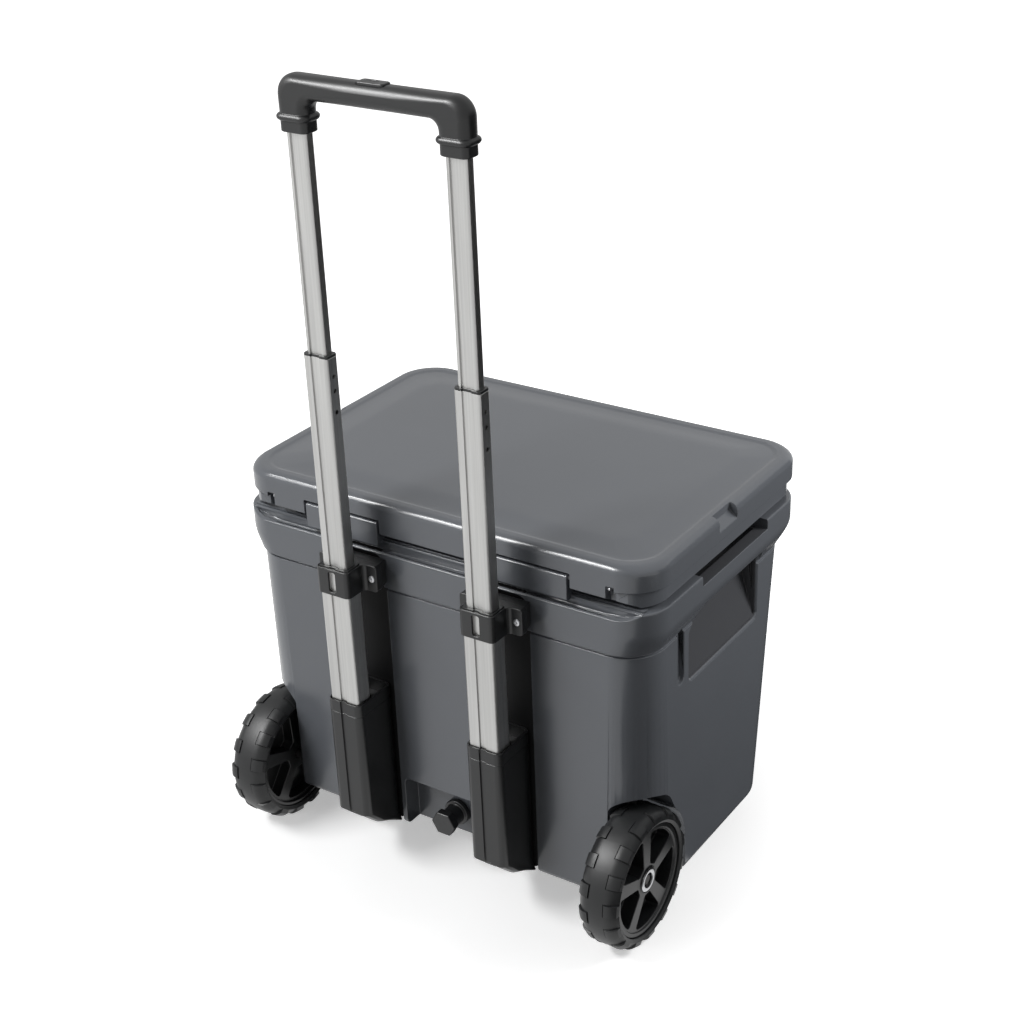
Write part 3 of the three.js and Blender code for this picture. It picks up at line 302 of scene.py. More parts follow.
# Each end has a hand pocket that deepens on its way up, with a spread lip and flutes that widen
# from a point. Two slots over it leave a bar to grip, and a groove runs down beside it.
pocket_back, pocket_mouth, pocket_front = 258.0, 286.3, 340.0
pocket_corners = [(167, 315), (pocket_front, 315), (pocket_front, 406), (193, 406), (167, 380)]
pocket_lip = ((pocket_back, 0), (pocket_mouth, 0), (287.4, 0.5), (288.6, 1.5), (289.7, 2.9), (290.4, 4.4),
              (330, 4.4))
ramp = [(250, 270), (pocket_mouth, 270), (pocket_mouth, 317), (pocket_back, 398), (250, 398)]
bar_slot = block(pocket_back, 283, 180, pocket_front, 394, 470)
deck_slot = block(pocket_back, 340, 180, 346.5, 439, 470)
groove_lip = ((284, -1.5), (285.5, 0), (288.8, 0.4), (290.3, 1.6), (330, 1.6))
groove = dished(rectangle(138, 152, 322, 397), 6.9, groove_lip, 0)
flute_tip = 0.3
flutes = (((273, 330, 352), (263, 336, 405), 4.2), ((285, 339, 320), (261, 341, 405), 3.6),
          ((283, 340.5, 349), (279, 342, 405), 3.2))
channel_half, channel_top, channel_back = 32.0, 440.0, 72.0
for side in (1, -1):
    hollow = make("tool", swapped(dished(pocket_corners, 7, pocket_lip, 0), side))
    carve(hollow, swapped(pushed(ramp, (160, 350), 1), side))
    for tip, head, half in flutes:
        ends = np.array([tip, head], float)
        corners = rectangle(-1, 1, -1, 1) * np.array([flute_tip, half])[:, None, None] + ends[:, None, :2]
        carve(tub, swapped(pushed(corners, ends[:, 2], 2), side))
    carve(tub, hollow, *(swapped(part, side) for part in (bar_slot, deck_slot, groove)))
    middle = side * tube_spacing / 2
    channel = rectangle(middle - channel_half, middle + channel_half, 0, channel_top)
    carve(tub, pushed(softened(channel, 12), (-40, channel_back), 1))

# The recess for the drain, and the step that slopes down from the deck to the rear lip.
recess_half, recess_top, recess_back = 65.0, 117.0, 84.0
recess = softened(rectangle(-recess_half, recess_half, 0, recess_top), 7)
carve(tub, pushed(recess, (-40, recess_back), 1))
rear_step = [(20, 442.2), (55.4, 442.2), (58, 443.4), (69.4, 452.2), (69.4, 480), (20, 480)]
carve(tub, pushed(rear_step, (-310, 310), 0))
round_edges(tub, 0.9)

# The finger scoop's hollow and the two beads along its front come after the edges are rounded,
# as do the hinge blocks that bridge it and the wheel wells. The hollow closes towards its ends.
scoop_heart = np.array([68.2, 451.5])
scoop_corners = [(58.2, 440.6), (59.5, 439.4), (68.5, 439.2), (70.4, 440.4), (69.2, 450.4), (69.0, 458),
                 (58.2, 458)]
scoop_open = np.array([0.04, 0.5, 0.85, 1, 1, 0.85, 0.5, 0.04])[:, None, None]
scoop_x = (-279, -270, -258, -235, 235, 258, 270, 279)
carve(tub, pushed(scoop_heart + scoop_open * (scoop_corners - scoop_heart), scoop_x, 0))
bead_half, hinge_inner, hinge_outer = 282.6, 80.0, 189.0
for bead in (rectangle(68.3, 70.9, 449, 452.9), rectangle(73, 82, 445, 453.9)):
    carve(tub, pushed(softened(bead, 1.1), (-bead_half, bead_half), 0), operation="UNION")
hinge_corners = softened(rectangle(59.5, 81, 447, 480.2), 3.2)
for side in (1, -1):
    hinge_block = make("tool", swapped(pushed(hinge_corners, (hinge_inner, hinge_outer), 0), side))
    carve(tub, round_edges(hinge_block, 1.2), operation="UNION")
    carve(tub, arch(0, side))
round_edges(tub, 0)


class Signal:
    """A value on its way through a material. A sum or a product with it adds a Math node."""

    def __init__(self, tree, socket):
        self.tree, self.socket = tree, socket

    def math(self, operation, first, second):
        node = self.tree.nodes.new("ShaderNodeMath")
        node.operation = operation
        for slot, value in zip(node.inputs, (first, second)):
            feed(self.tree, slot, value)
        return Signal(self.tree, node.outputs[0])

    def __add__(self, other):
        return self.math("ADD", self, other)

    def __mul__(self, other):
        return self.math("MULTIPLY", self, other)

    __radd__, __rmul__ = __add__, __mul__


def feed(tree, slot, value):
    """Links a signal to a socket, or sets the socket to a plain value."""
    if isinstance(value, Signal):
        tree.links.new(value.socket, slot)
    else:
        slot.default_value = value


class Finish:
    """A material under construction, with its Principled shader."""

    def __init__(self, name, **plain):
        self.material = bpy.data.materials.new(name)
        self.material.use_nodes = True
        self.tree = self.material.node_tree
        self.shader = self.tree.nodes["Principled BSDF"]
        self.place = self.add("ShaderNodeTexCoord", out="Object")
        for socket, value in plain.items():
            self.shader.inputs[socket.replace("_", " ")].default_value = value

    def add(self, kind, settings=None, out=0, **sockets):
        """Any other node: its settings first, then the values or links of its sockets."""
        node = self.tree.nodes.new(kind)
        for name, value in (settings or {}).items():
            setattr(node, name, value)
        for name, value in sockets.items():
            feed(self.tree, node.inputs[name.replace("_", " ")], value)
        return Signal(self.tree, node.outputs[out])

    def noise(self, scale, detail=3.0, stretch=(1, 1, 1)):
        """Cloudy noise, scale in lumps to a metre, drawn out along an axis by stretch."""
        place = self.add("ShaderNodeMapping", Vector=self.place, Scale=stretch)
        return self.add("ShaderNodeTexNoise", Vector=place, Scale=scale, Detail=detail, Roughness=0.55)

    def blend(self, factor, first, second):
        """Colour between two colours."""
        node = self.tree.nodes.new("ShaderNodeMix")
        node.data_type = "RGBA"
        for name, value in (("Factor_Float", factor), ("A_Color", first), ("B_Color", second)):
            slot = next(s for s in node.inputs if s.identifier == name)
            feed(self.tree, slot, value)
        return Signal(self.tree, next(s for s in node.outputs if s.identifier == "Result_Color"))

    def finish(self, depth=None, height=None, strength=1.0, **fed):
        """Links what varies to the shader, with a bump of a depth in metres."""
        if height is not None:
            fed["Normal"] = self.add("ShaderNodeBump", Height=height, Distance=depth, Strength=strength)
        for socket, value in fed.items():
            feed(self.tree, self.shader.inputs[socket.replace("_", " ")], value)
        return self.material


def colour(text, shade=1.0):
    """Linear colour from a hex colour as it looks on a screen."""
    value = np.array([int(text[i:i + 2], 16) for i in (0, 2, 4)]) / 255
    linear = np.where(value <= 0.04045, value / 12.92, ((value + 0.055) / 1.055) ** 2.4)
    return (*(linear * shade), 1.0)


def moulded(name, tone, rough=0.5, grain=0.00005, shine=0.5):
    """Satin moulded plastic: a fine spark-eroded grain, faint flow clouds and slight uneven gloss."""
    plastic = Finish(name, IOR=1.5, Specular_IOR_Level=shine)
    clouds = plastic.noise(9, 4)
    speck = plastic.noise(1500, 2)
    fine = plastic.noise(900, 3)
    tint = plastic.blend(clouds * 0.6 + speck * 0.4, colour(tone, 0.93), colour(tone, 1.08))
    gloss = rough - 0.05 + clouds * 0.06 + fine * 0.05
    return plastic.finish(Base_Color=tint, Roughness=gloss, height=fine, depth=grain, strength=0.6)


charcoal = moulded("charcoal plastic", "616469", 0.21)


def fit(piece, material, body, slot, *stands_for):
    """Gives a piece its material and its body, and hides the nodes it stands for. The slot is not used."""
    piece.data.materials.clear()
    piece.data.materials.append(material)
    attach(piece, body)
    if stands_for:
        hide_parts(*stands_for)


def coat(material, *nodes):
    """Gives CAD nodes that keep their own shape a better material."""
    for node in nodes:
        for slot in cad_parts[node].material_slots:
            slot.material = material


fit(tub, charcoal, "tub", "tub_plastic", "tub_skin")

# The hand pockets' inner faces are spark-eroded more deeply for grip, which makes them rougher.
# Their colour is also darker: painted shade for the shadow that the lid and the grip bar cast in.
pocket_shade_plastic = moulded("charcoal plastic with painted pocket shade", "4a4b4e", 0.42, 0.00025, 0.35)
tub.data.materials.append(pocket_shade_plastic)
middles = np.empty(len(tub.data.polygons) * 3)
tub.data.polygons.foreach_get("center", middles)
across, along, up = np.abs((middles.reshape(-1, 3) - [0, tubes_rear, 0]) * 1000).T
painted_shade_faces = np.all([across > 250, across < 287, along > 160, along < 345, up > 314, up < 461], axis=0)
tub.data.polygons.foreach_set("material_index", painted_shade_faces.astype(int))

# Foam fills the tub and the lid. It shows nowhere from outside. The round plugs close the holes
# that it was poured through.

foam = Finish("cream foam", Roughness=0.9)
cells = foam.add("ShaderNodeTexVoronoi", Vector=foam.place, Scale=420.0)
cream = foam.blend(cells, colour("d8cfae"), colour("efe8cf"))
foam = foam.finish(Base_Color=cream, height=cells, depth=0.0004, strength=0.5)
coat(foam, "tub_foam", "lid_foam")

black = moulded("black plastic", "111213", 0.38, 0.00004, 0.55)
coat(black, "tub_fill_plug", "lid_fill_plug")

# ---------------------------------------------------------------------------------------------
# Lid. A second foam-filled moulding of the same plastic, with a waist round its skirt, a shallow
# gutter round a crowned middle, notches for straps, room for the hinge and ears for the latches.

lid_foot, lid_top, lid_half, lid_rear, lid_front = 456.0, 507.5, 297.7, 60.5, 455.9
lid_corner, lid_round, waist, waist_top, waist_rise = 49.0, 10.0, 5.0, 474.0, 3.5
gutter, crown = 1.2, 1.6
latch_x, latch_half, ear_inner, ear_thick = 165.0, 21.0, 21.4, 6.0
turn = np.radians(np.linspace(0, 90, 9))
ease = np.linspace(0, 1, 6)
swell = 0.5 - 0.5 * np.cos(np.pi * ease)


def lid_level(z, inward, corner, waist_in=0.0):
    """Levels of the lid, drawn in all round by one amount and at the waist on three sides."""
    return rows(z, lid_half - inward - waist_in, lid_rear + inward, lid_front - inward - waist_in, corner)


# How far the gutter's edge, its bottom and the rim of the crown lie inwards, and their corners.
edge, bottom, summit = np.array([(15, 43), (22, 38), (66, 24)])
down_in, down_corner = (edge + (bottom - edge) * ease[:, None]).T
up_in, up_corner = (bottom + (summit - bottom) * ease[1:, None]).T
lid = make("lid_body", stacked(np.concatenate([
    lid_level(np.array([lid_foot, waist_top - 1]), 0, lid_corner, waist),
    lid_level(waist_top + waist_rise * ease, 0, lid_corner, waist * (1 - swell)),
    lid_level(lid_top - lid_round * (1 - np.sin(turn)), lid_round * (1 - np.cos(turn)), lid_corner),
    lid_level(lid_top - gutter * swell, down_in, down_corner),
    lid_level(lid_top - gutter + (gutter + crown) * swell[1:], up_in, up_corner),
]), 20))

# The panel underneath drops into the tub's mouth.
panel_foot, panel_round, panel_half, panel_rear, panel_front, panel_corner = 446, 3, 237, 113, 376, 22
panel_in = panel_round * (1 - np.sin(turn))
panel = rows(
    panel_foot + panel_round * (1 - np.cos(turn)),
    panel_half - panel_in,
    panel_rear + panel_in,
    panel_front - panel_in,
    panel_corner,
)
panel_root = (470, panel_half, panel_rear, panel_front, panel_corner)
carve(lid, stacked([*panel, panel_root], 8), operation="UNION")

# The rear edge is cut away underneath so that the lid can swing. There is room for the hinge
# blocks, the pins' ends and the rim's corners, a notch in each end for a tie-down strap, and a
# pair of ears for each latch.
heel = [(30, 483.3), (30, 416), (90.5, 416), (90.5, 447)]
carve(lid, pushed(heel, (-320, 320), 0))
hinge_room = block(77, 192, 20, 84, 416, 483.2)
pin_room = pushed(softened(rectangle(20, 72, 416, 480.4), 2.5), (240, 250), 0)
corner_room = pushed([(248, 440), (320, 440), (320, 480), (275, 476.8), (248, 474)], (40, 65.6), 1)
notch = softened([(286.7, 498.1), (298.7, 487.1), (337.7, 487.1), (337.7, 549), (286.7, 549)], 1.5)
strap_room = block(270, 350, 224.2, 268.2, 470, 560)
ear = softened(rectangle(440, 464.9, 483.5, 495.5), 3.5)
for side in (1, -1):
    carve(lid, *(swapped(part, side) for part in (hinge_room, pin_room, corner_room)))
    cutter = make("tool", swapped(pushed(notch, (200, 300), 1), side))
    carve(cutter, swapped(strap_room, side), operation="INTERSECT")
    carve(lid, cutter)
    for x in (side * latch_x - ear_inner - ear_thick, side * latch_x + ear_inner):
        carve(lid, pushed(ear, (x, x + ear_thick), 0), operation="UNION")
round_edges(lid, 1.0)
fit(lid, charcoal, "lid", "tub_plastic", "lid_skin")

steel = Finish("bright steel", Metallic=1.0, Roughness=0.28)
scuff = steel.noise(60, 4)
steel = steel.finish(
    Base_Color=steel.blend(scuff, colour("b4b5b8"), colour("d6d7d9")),
    Roughness=0.2 + scuff * 0.2,
)
coat(steel, "hinge_pin_left", "hinge_pin_right", "latch_pin_left", "latch_pin_right")

soft_black = Finish("soft rubber", Specular_IOR_Level=0.35)
powder = soft_black.noise(1100, 3)
bloom = soft_black.noise(14, 4)
soft_black = soft_black.finish(
    Base_Color=soft_black.blend(bloom, colour("1b1c1d"), colour("2a2b2c")),
    Roughness=0.62 + bloom * 0.15, height=powder, depth=0.00006, strength=0.6,
)
coat(soft_black, "lid_gasket", "drain_gasket")

# ---------------------------------------------------------------------------------------------
# Handle tubes. Three sizes of drawn and satin-anodised aluminium tube slide in each other, each
# with a shallow channel down its rear face. Black bushings in their mouths guide them. A row of
# tubes gives half width, half depth, corner, channel width and depth, wall, foot and top.

tube_middle = 13.75
tubes = {
    "outer": (21.5, 13.75, 5.0, 9.0, 1.8, 1.5, 92.0, 437.0),
    "middle": (17.5, 9.8, 4.0, 13.0, 1.8, 1.4, 373.0, 708.0),
    "upper": (13.75, 7.0, 3.5, 17.0, 2.0, 1.4, 648.0, 985.0),
}
bodies = {"outer": "tub", "middle": "middle_stage", "upper": "upper_stage"}
lock_holes, lock_hole = (685, 667, 641), 2.6
bushing_deep, collar_high = 26.0, 3.0


def section(half, deep, corner, groove, depth, grow=0.0):
    """Section of a tube about its middle, grown all round: four quarter turns, and across the
    rear face a channel whose depth is a smooth step of the distance from its lips."""
    half, deep, corner = half + grow, deep + grow, max(corner + grow, 0.5)
    mouth = groove / 2 - grow
    lip = np.linspace(0, 1, 5)
    ease = lip * lip * (3 - 2 * lip)
    left = rows(-mouth - 0.25 + 0.75 * lip, -deep + depth * ease)
    right = left[::-1] * [-1, 1]
    turn = np.radians(np.arange(4)[:, None] * 90 - 90 + np.linspace(0, 90, 9))
    x = np.array([1, 1, -1, -1])[:, None] * (half - corner) + corner * np.cos(turn)
    y = np.array([-1, 1, 1, -1])[:, None] * (deep - corner) + corner * np.sin(turn)
    arcs = rows(x, y).reshape(-1, 2)
    return np.concatenate([left, right, arcs])


def tube_section(size, grow=0.0):
    """Section of one of the tubes, grown all round."""
    return section(*tubes[size][:5], grow)


def level(loop, x, y, z):
    """Ring of points: a flat outline moved to a place in plan and set at a height."""
    return np.insert(loop + [x, y], 2, z, axis=1)


def tube_wall(outer, inner, foot, top, x, edge=0.35):
    """A tube between two sections: up the outside, over a rounded rim and down the inside."""
    stations = [foot, top - edge, top, top, top - edge, foot]
    loops = [outer, outer, outer * (1 - edge / 20), inner * (1 + edge / 20), inner, inner]
    rings = [level(loop, x, tube_middle, z) for loop, z in zip(loops, stations)]
    return skin(np.stack(rings), wrap=True)


brushed = Finish("anodised aluminium", Metallic=1.0, Roughness=0.34)
drawn = brushed.noise(420, 2, (1, 1, 0.012))
cloud = brushed.noise(12, 3, (1, 1, 0.25))
brushed = brushed.finish(
    Base_Color=brushed.blend(drawn * 0.6 + cloud * 0.4, colour("989897"), colour("d4d4d2")),
    Roughness=0.30 + drawn * 0.10 + cloud * 0.06, height=drawn, depth=0.00004, strength=0.6,
)
for hand, side in (("left", -1), ("right", 1)):
    x = side * tube_spacing / 2
    for size, (*_, wall, foot, top) in tubes.items():
        walls = tube_wall(tube_section(size), tube_section(size, -wall), foot, top, x)
        tube = make(f"{size}_tube_metal_{hand}", walls)
        if size == "middle":
            for height in lock_holes:
                hole = on_circle([tube_middle, height], lock_hole, np.arange(24) * 15)
                carve(tube, pushed(hole, (x + 8, x + 30), 0))
        shade(tube, 35)
        fit(tube, brushed, bodies[size], "tube_aluminium", f"{size}_tube_{hand}")
    for size, other in (("outer", "middle"), ("middle", "upper")):
        *_, wall, foot, top = tubes[size]
        sleeve, collar, bore = tube_section(size, -wall - 0.3), tube_section(size), tube_section(other, 0.4)
        stations = [
            (sleeve, top - bushing_deep), (sleeve, top + 0.3), (collar, top + 0.3), (collar, top + 2.2),
            (collar * 0.97, top + collar_high), (bore, top + collar_high), (bore, top - bushing_deep),
        ]
        rings = np.stack([level(loop, x, tube_middle, z) for loop, z in stations])
        bushing = make(f"{size}_bushing_ring_{hand}", skin(rings, wrap=True))
        shade(bushing, 35)
        fit(bushing, black, bodies[size], "black_plastic", f"{size}_bushing_{hand}")

# ---------------------------------------------------------------------------------------------
# Grip. A soft-edged black moulding pressed on the upper tubes, with a collar and a bead round
# each leg, and a release button in the top of the bar over its coil spring.

grip_top, bar_height, leg_half, bar_half_depth = 1027.0, 27.0, 20.0, 14.25
leg_x, leg_foot, outer_turn, inner_turn, grip_edge = 104.0, 984.0, 22.0, 12.0, 12.6


def grip_path(steps=14):
    """Outer and inner edge of the right half of the grip, from the middle of the bar out and
    down the leg: straight, a quarter turn, straight, at matching stations."""
    degrees = np.linspace(90, 0, steps + 1)
    ox, oz = leg_x + leg_half - outer_turn, grip_top - outer_turn
    ix, iz = leg_x - leg_half - inner_turn, grip_top - bar_height - inner_turn
    outer = on_circle([ox, oz], outer_turn, degrees)
    inner = on_circle([ix, iz], inner_turn, degrees)
    along = np.linspace(0, 1, 8)[:-1, None]
    bar_outer, bar_inner = along * [ox, 0] + [0, grip_top], along * [ix, 0] + [0, grip_top - bar_height]
    outer = np.concatenate([bar_outer, outer, [[leg_x + leg_half, leg_foot]]])
    inner = np.concatenate([bar_inner, inner, [[leg_x - leg_half, leg_foot]]])
    return outer, inner


def grip_skin():
    """The grip's skin: at each station a rounded rectangle stands between the outer and the
    inner edge, as deep as the bar."""
    outer, inner = grip_path()
    outer = np.concatenate([outer[:0:-1] * [-1, 1], outer])
    inner = np.concatenate([inner[:0:-1] * [-1, 1], inner])
    middle, reach = (outer + inner) / 2, (outer - inner) / 2
    width = np.linalg.norm(reach, axis=1, keepdims=True)
    edge = np.minimum(grip_edge, width - 1.5)
    turn = np.radians(np.arange(4)[:, None] * 90 + np.linspace(0, 90, 9))
    signs = np.array([[1, 1], [-1, 1], [-1, -1], [1, -1]])
    u = signs[:, 0, None] * (width[:, None] - edge[:, None]) + edge[:, None] * np.cos(turn)
    v = signs[:, 1, None] * (bar_half_depth - edge[:, None]) + edge[:, None] * np.sin(turn)
    u, v = u.reshape(len(width), -1) / width, v.reshape(len(width), -1)
    x = middle[:, :1] + reach[:, :1] * u
    z = middle[:, 1:] + reach[:, 1:] * u
    return skin(rows(x, tube_middle + v, z))


# Round each leg's foot goes a bead, half a turn high, over a plain collar.
grip = make("grip_moulding", grip_skin())
bead_turn = np.radians(np.linspace(-90, 90, 9))
bead_z, bead_high, bead_rear, bead_front, bead_corner = 981.0, 4.0, -0.5, 28.0, 10.5
bulge = 3.4 * np.cos(bead_turn) - 1.2
bead = rows(
    bead_z + bead_high * np.sin(bead_turn),
    leg_half + bulge,
    bead_rear - bulge,
    bead_front + bulge,
    bead_corner,
)
collar = [(964.5, 17.3, 2.2, 25.3, 7), (965.3, 18.5, 1.0, 26.5, 7.5), (978, 18.5, 1.0, 26.5, 7.5)]
for x in (-leg_x, leg_x):
    carve(grip, stacked(bead, 8, x), stacked(collar, 8, x), operation="UNION")
    carve(grip, pushed(tube_section("upper", 0.3) + [x, tube_middle], (950, 985.3), 2))
carve(grip, stacked([(z, 18.4, 5.35, 22.15, 4.4) for z in (1006, 1040)], 8))
round_edges(grip, 0.6, angle=50)
fit(grip, black, "upper_stage", "black_plastic", "grip")

# The button's edges step in towards its face, which is dished for a thumb by a wide circle.
button = make("button_cap", stacked([
    (1019.5, 18, 5.75, 21.75, 4), (1027.3, 18, 5.75, 21.75, 4), (1028.2, 17.4, 6.3, 21.2, 3.6),
    (1028.5, 16.6, 7.0, 20.5, 3.2),
], 8))
dish_x, dish_z, dish_radius = -1.0, 1087.2, 60.0
dish = on_circle([dish_x, dish_z], dish_radius, np.arange(48) * 7.5)
carve(button, pushed(dish, (7.6, 19.9), 1))
round_edges(button, 0.4, angle=35)
fit(button, black, "button", "black_plastic", "release_button")
coat(steel, "button_spring")

# ---------------------------------------------------------------------------------------------
# Sockets, rails, clamps and brackets. Black mouldings hold the outer tubes to the tub: a socket
# at the foot, a flat rail behind, and near the top a clamp screwed to a bracket by two screws.
# The rails' near-black matt colour is painted shade for the dark handle channels.

socket_half, socket_rear, socket_front, socket_foot, socket_top = 25.3, -3.0, 64.4, 43.0, 252.6
clamp_foot, clamp_top, face_half = 403.9, 439.0, 43.5
stand_half, stand_rear, stand_front, stand_taper = 39.5, 39.05, 55.2, 2.0
saddle_half, saddle_corner, saddle_rear, ear_half, ear_rear, ear_front = 24.0, 6.5, -2.5, 50.0, 28.75, 38.75
screw_apart, screw_z = 35.9, 421.5
# The rails are near black and matt: painted shade standing in for the shadow deep in the channels behind
# the tubes.
channel_shade_black = moulded("near-black plastic with painted channel shade", "0a0a0b", 0.62, 0.00008, 0.18)
coat(channel_shade_black, "handle_rail_left", "handle_rail_right")


def socket_ring(z, shrink):
    """One level of the socket: a rounded oblong with the tube's channel carried down its rear
    face, which slopes forward below the toe."""
    rear = np.interp(z, [socket_foot, 66, 88], [socket_front - 1.5, 19, socket_rear]) + shrink
    front = socket_front - shrink
    deep = (front - rear) / 2
    corner = min(9.0, deep * 0.9)
    loop = section(socket_half - shrink, deep, corner, 9.0 + shrink, 1.8)
    return level(loop, 0, (front + rear) / 2, z)


def socket_skin(x):
    """The socket: up the outside, past its seam, over the mouth and down the bore. The rows give
    height and how far the outside is drawn in, or how far the bore clears the tube."""
    outside = [(socket_foot, 1.2), (44.2, 0), (55, 0), (65, 0), (66, 0), (67, 0), (77, 0), (87, 0), (88, 0),
               (90, 0), (235.6, 0), (235.8, 0.25), (236.2, 0.25), (236.4, 0), (251.6, 0), (252.3, 0.2),
               (socket_top, 0.7)]
    bore = [(socket_top, 1.6), (246, 1.6), (244, 0.3), (91.7, 0.3)]
    rings = [socket_ring(z, shrink) for z, shrink in outside]
    rings += [level(tube_section("outer", clear), 0, tube_middle, z) for z, clear in bore]
    return skin(np.stack(rings) + [x, 0, 0])


def clamp_outline(fillet=6.0):
    """Plan of the clamp: round the saddle's corner, down its side and out along a hollow curve
    to the ear, mirrored to the other side."""
    centre = [saddle_half - saddle_corner, saddle_rear + saddle_corner]
    saddle = on_circle(centre, saddle_corner, np.linspace(-90, 0, 8))
    hollow = on_circle([saddle_half + fillet, ear_rear - fillet], fillet, np.linspace(180, 90, 8))
    right = np.concatenate([saddle, hollow, [[ear_half, ear_rear], [ear_half, ear_front]]])
    return np.concatenate([right, right[::-1] * [-1, 1]])


def lathed(profile, x, z, steps):
    """Profile of depth and radius turned about an axis along the depth, at a place and height."""
    profile = np.array(profile, float)
    around = np.radians(np.arange(steps) * 360 / steps)
    radius = profile[:, 1:]
    return skin(rows(x + radius * np.cos(around), profile[:, :1], z + radius * np.sin(around)))


screw_profile = [
    (27.4, 0.01), (27.3, 1.6), (26.9, 1.9), (26.9, 3.4), (27.3, 4.1), (28.0, 4.4),
    (28.9, 4.4), (28.95, 2.0), (47.5, 2.0), (47.6, 0.01),
]
for hand, side in (("left", -1), ("right", 1)):
    x = side * tube_spacing / 2
    socket = make(f"tube_socket_{hand}", socket_skin(x))
    carve(socket, stacked([(z, 21.5, 31.5, 61, 5) for z in (236, 260)], 6, x))
    round_edges(socket, 0, smooth=32)
    fit(socket, black, "tub", "black_plastic", f"socket_{hand}")

    clamp = make(f"clamp_saddle_{hand}", pushed(clamp_outline() + [x, 0], (clamp_foot, clamp_top), 2))
    face = softened(rectangle(x - face_half, x + face_half, clamp_foot, clamp_top + 0.5), 5)
    carve(clamp, pushed(face, (-20, 60), 1), operation="INTERSECT")
    carve(clamp, pushed(tube_section("outer", 0.3) + [x, tube_middle], (380, 460), 2))
    window = softened(rectangle(x - 5, x + 5, 408, 435.2), 2.5)
    carve(clamp, pushed(window, (-10, 5), 1))
    round_edges(clamp, 0.9, angle=45)
    fit(clamp, black, "tub", "black_plastic", f"tube_clamp_{hand}")

    plan = rectangle(x - stand_half, x + stand_half, stand_rear, stand_front)
    plan[2:, 0] += (-stand_taper, stand_taper)
    bracket = make(f"clamp_stand_{hand}", pushed(softened(plan, 1.5), (404, 436.5), 2))
    round_edges(bracket, 1.2)
    fit(bracket, black, "tub", "black_plastic", f"clamp_bracket_{hand}")
    for end, way in (("inner", -side), ("outer", side)):
        screw = make(f"screw_{hand}_{end}", lathed(screw_profile, x + way * screw_apart, screw_z, 24))
        shade(screw, 35)
        fit(screw, steel, "tub", "bright_steel", f"clamp_screw_{hand}_{end}")

# ---------------------------------------------------------------------------------------------
# Drain plug. A turned black plug with a thick flange against its rubber seal and a large hexagon
# head to grip, in a recess at the foot of the rear wall.

drain_z, head_flats = 75.0, 31.0
plug_profile = [
    (106, 0.01), (106, 12.0), (105, 12.7), (81.5, 12.7), (81.5, 17.2), (81.2, 17.5), (77.6, 17.5),
    (76.6, 17.2), (76.0, 16.2), (75.9, 14.2), (75.2, 13.2), (56.0, 13.2), (56.0, 0.01),
]
head_lip = ((47.0, -1.6), (47.5, -0.7), (48.6, 0), (57.0, 0), (58.0, -0.7))


def hexagon_head():
    """Hexagon with softened corners, chamfered at both ends by drawing the outline in. Its
    corners lie as far out as its width across the flats over the root of three."""
    corners = on_circle([0, drain_z], head_flats / math.sqrt(3), np.arange(6) * 60)
    return dished(corners, 2.2, head_lip, 1, 4)


plug = make("drain_plug_body", lathed(plug_profile, 0, drain_z, 48))
carve(plug, hexagon_head(), operation="UNION")
round_edges(plug, 0.5, angle=50)
fit(plug, black, "drain", "black_plastic", "drain_plug")

# ---------------------------------------------------------------------------------------------
# Wheels. A moulded rubber tyre with two rows of block lugs, on a five-spoked black hub with a
# bright ring pressed into its boss, turning on a steel axle.

tyre_side, tyre_bore, flat_half, lug_rows, wheel_x = 26.65, 72.6, 13.0, 15, 268.35
lug_in, lug_out, lug, groove_wide, groove_deep = 11.3, 26.0, 5.15, 1.2, 0.9
spokes, boss_reach, boss_turn, rim_reach, rim_turn = 5, 21.5, 16.0, 63.5, 27.0
rubber = Finish("tyre rubber", Specular_IOR_Level=0.4)
dust = rubber.noise(16, 5)
crumb = rubber.noise(1300, 3)
rubber = rubber.finish(
    Base_Color=rubber.blend(dust, colour("1a1b1c"), colour("262728")),
    Roughness=0.36 + dust * 0.14, height=crumb, depth=0.00006, strength=0.7,
)


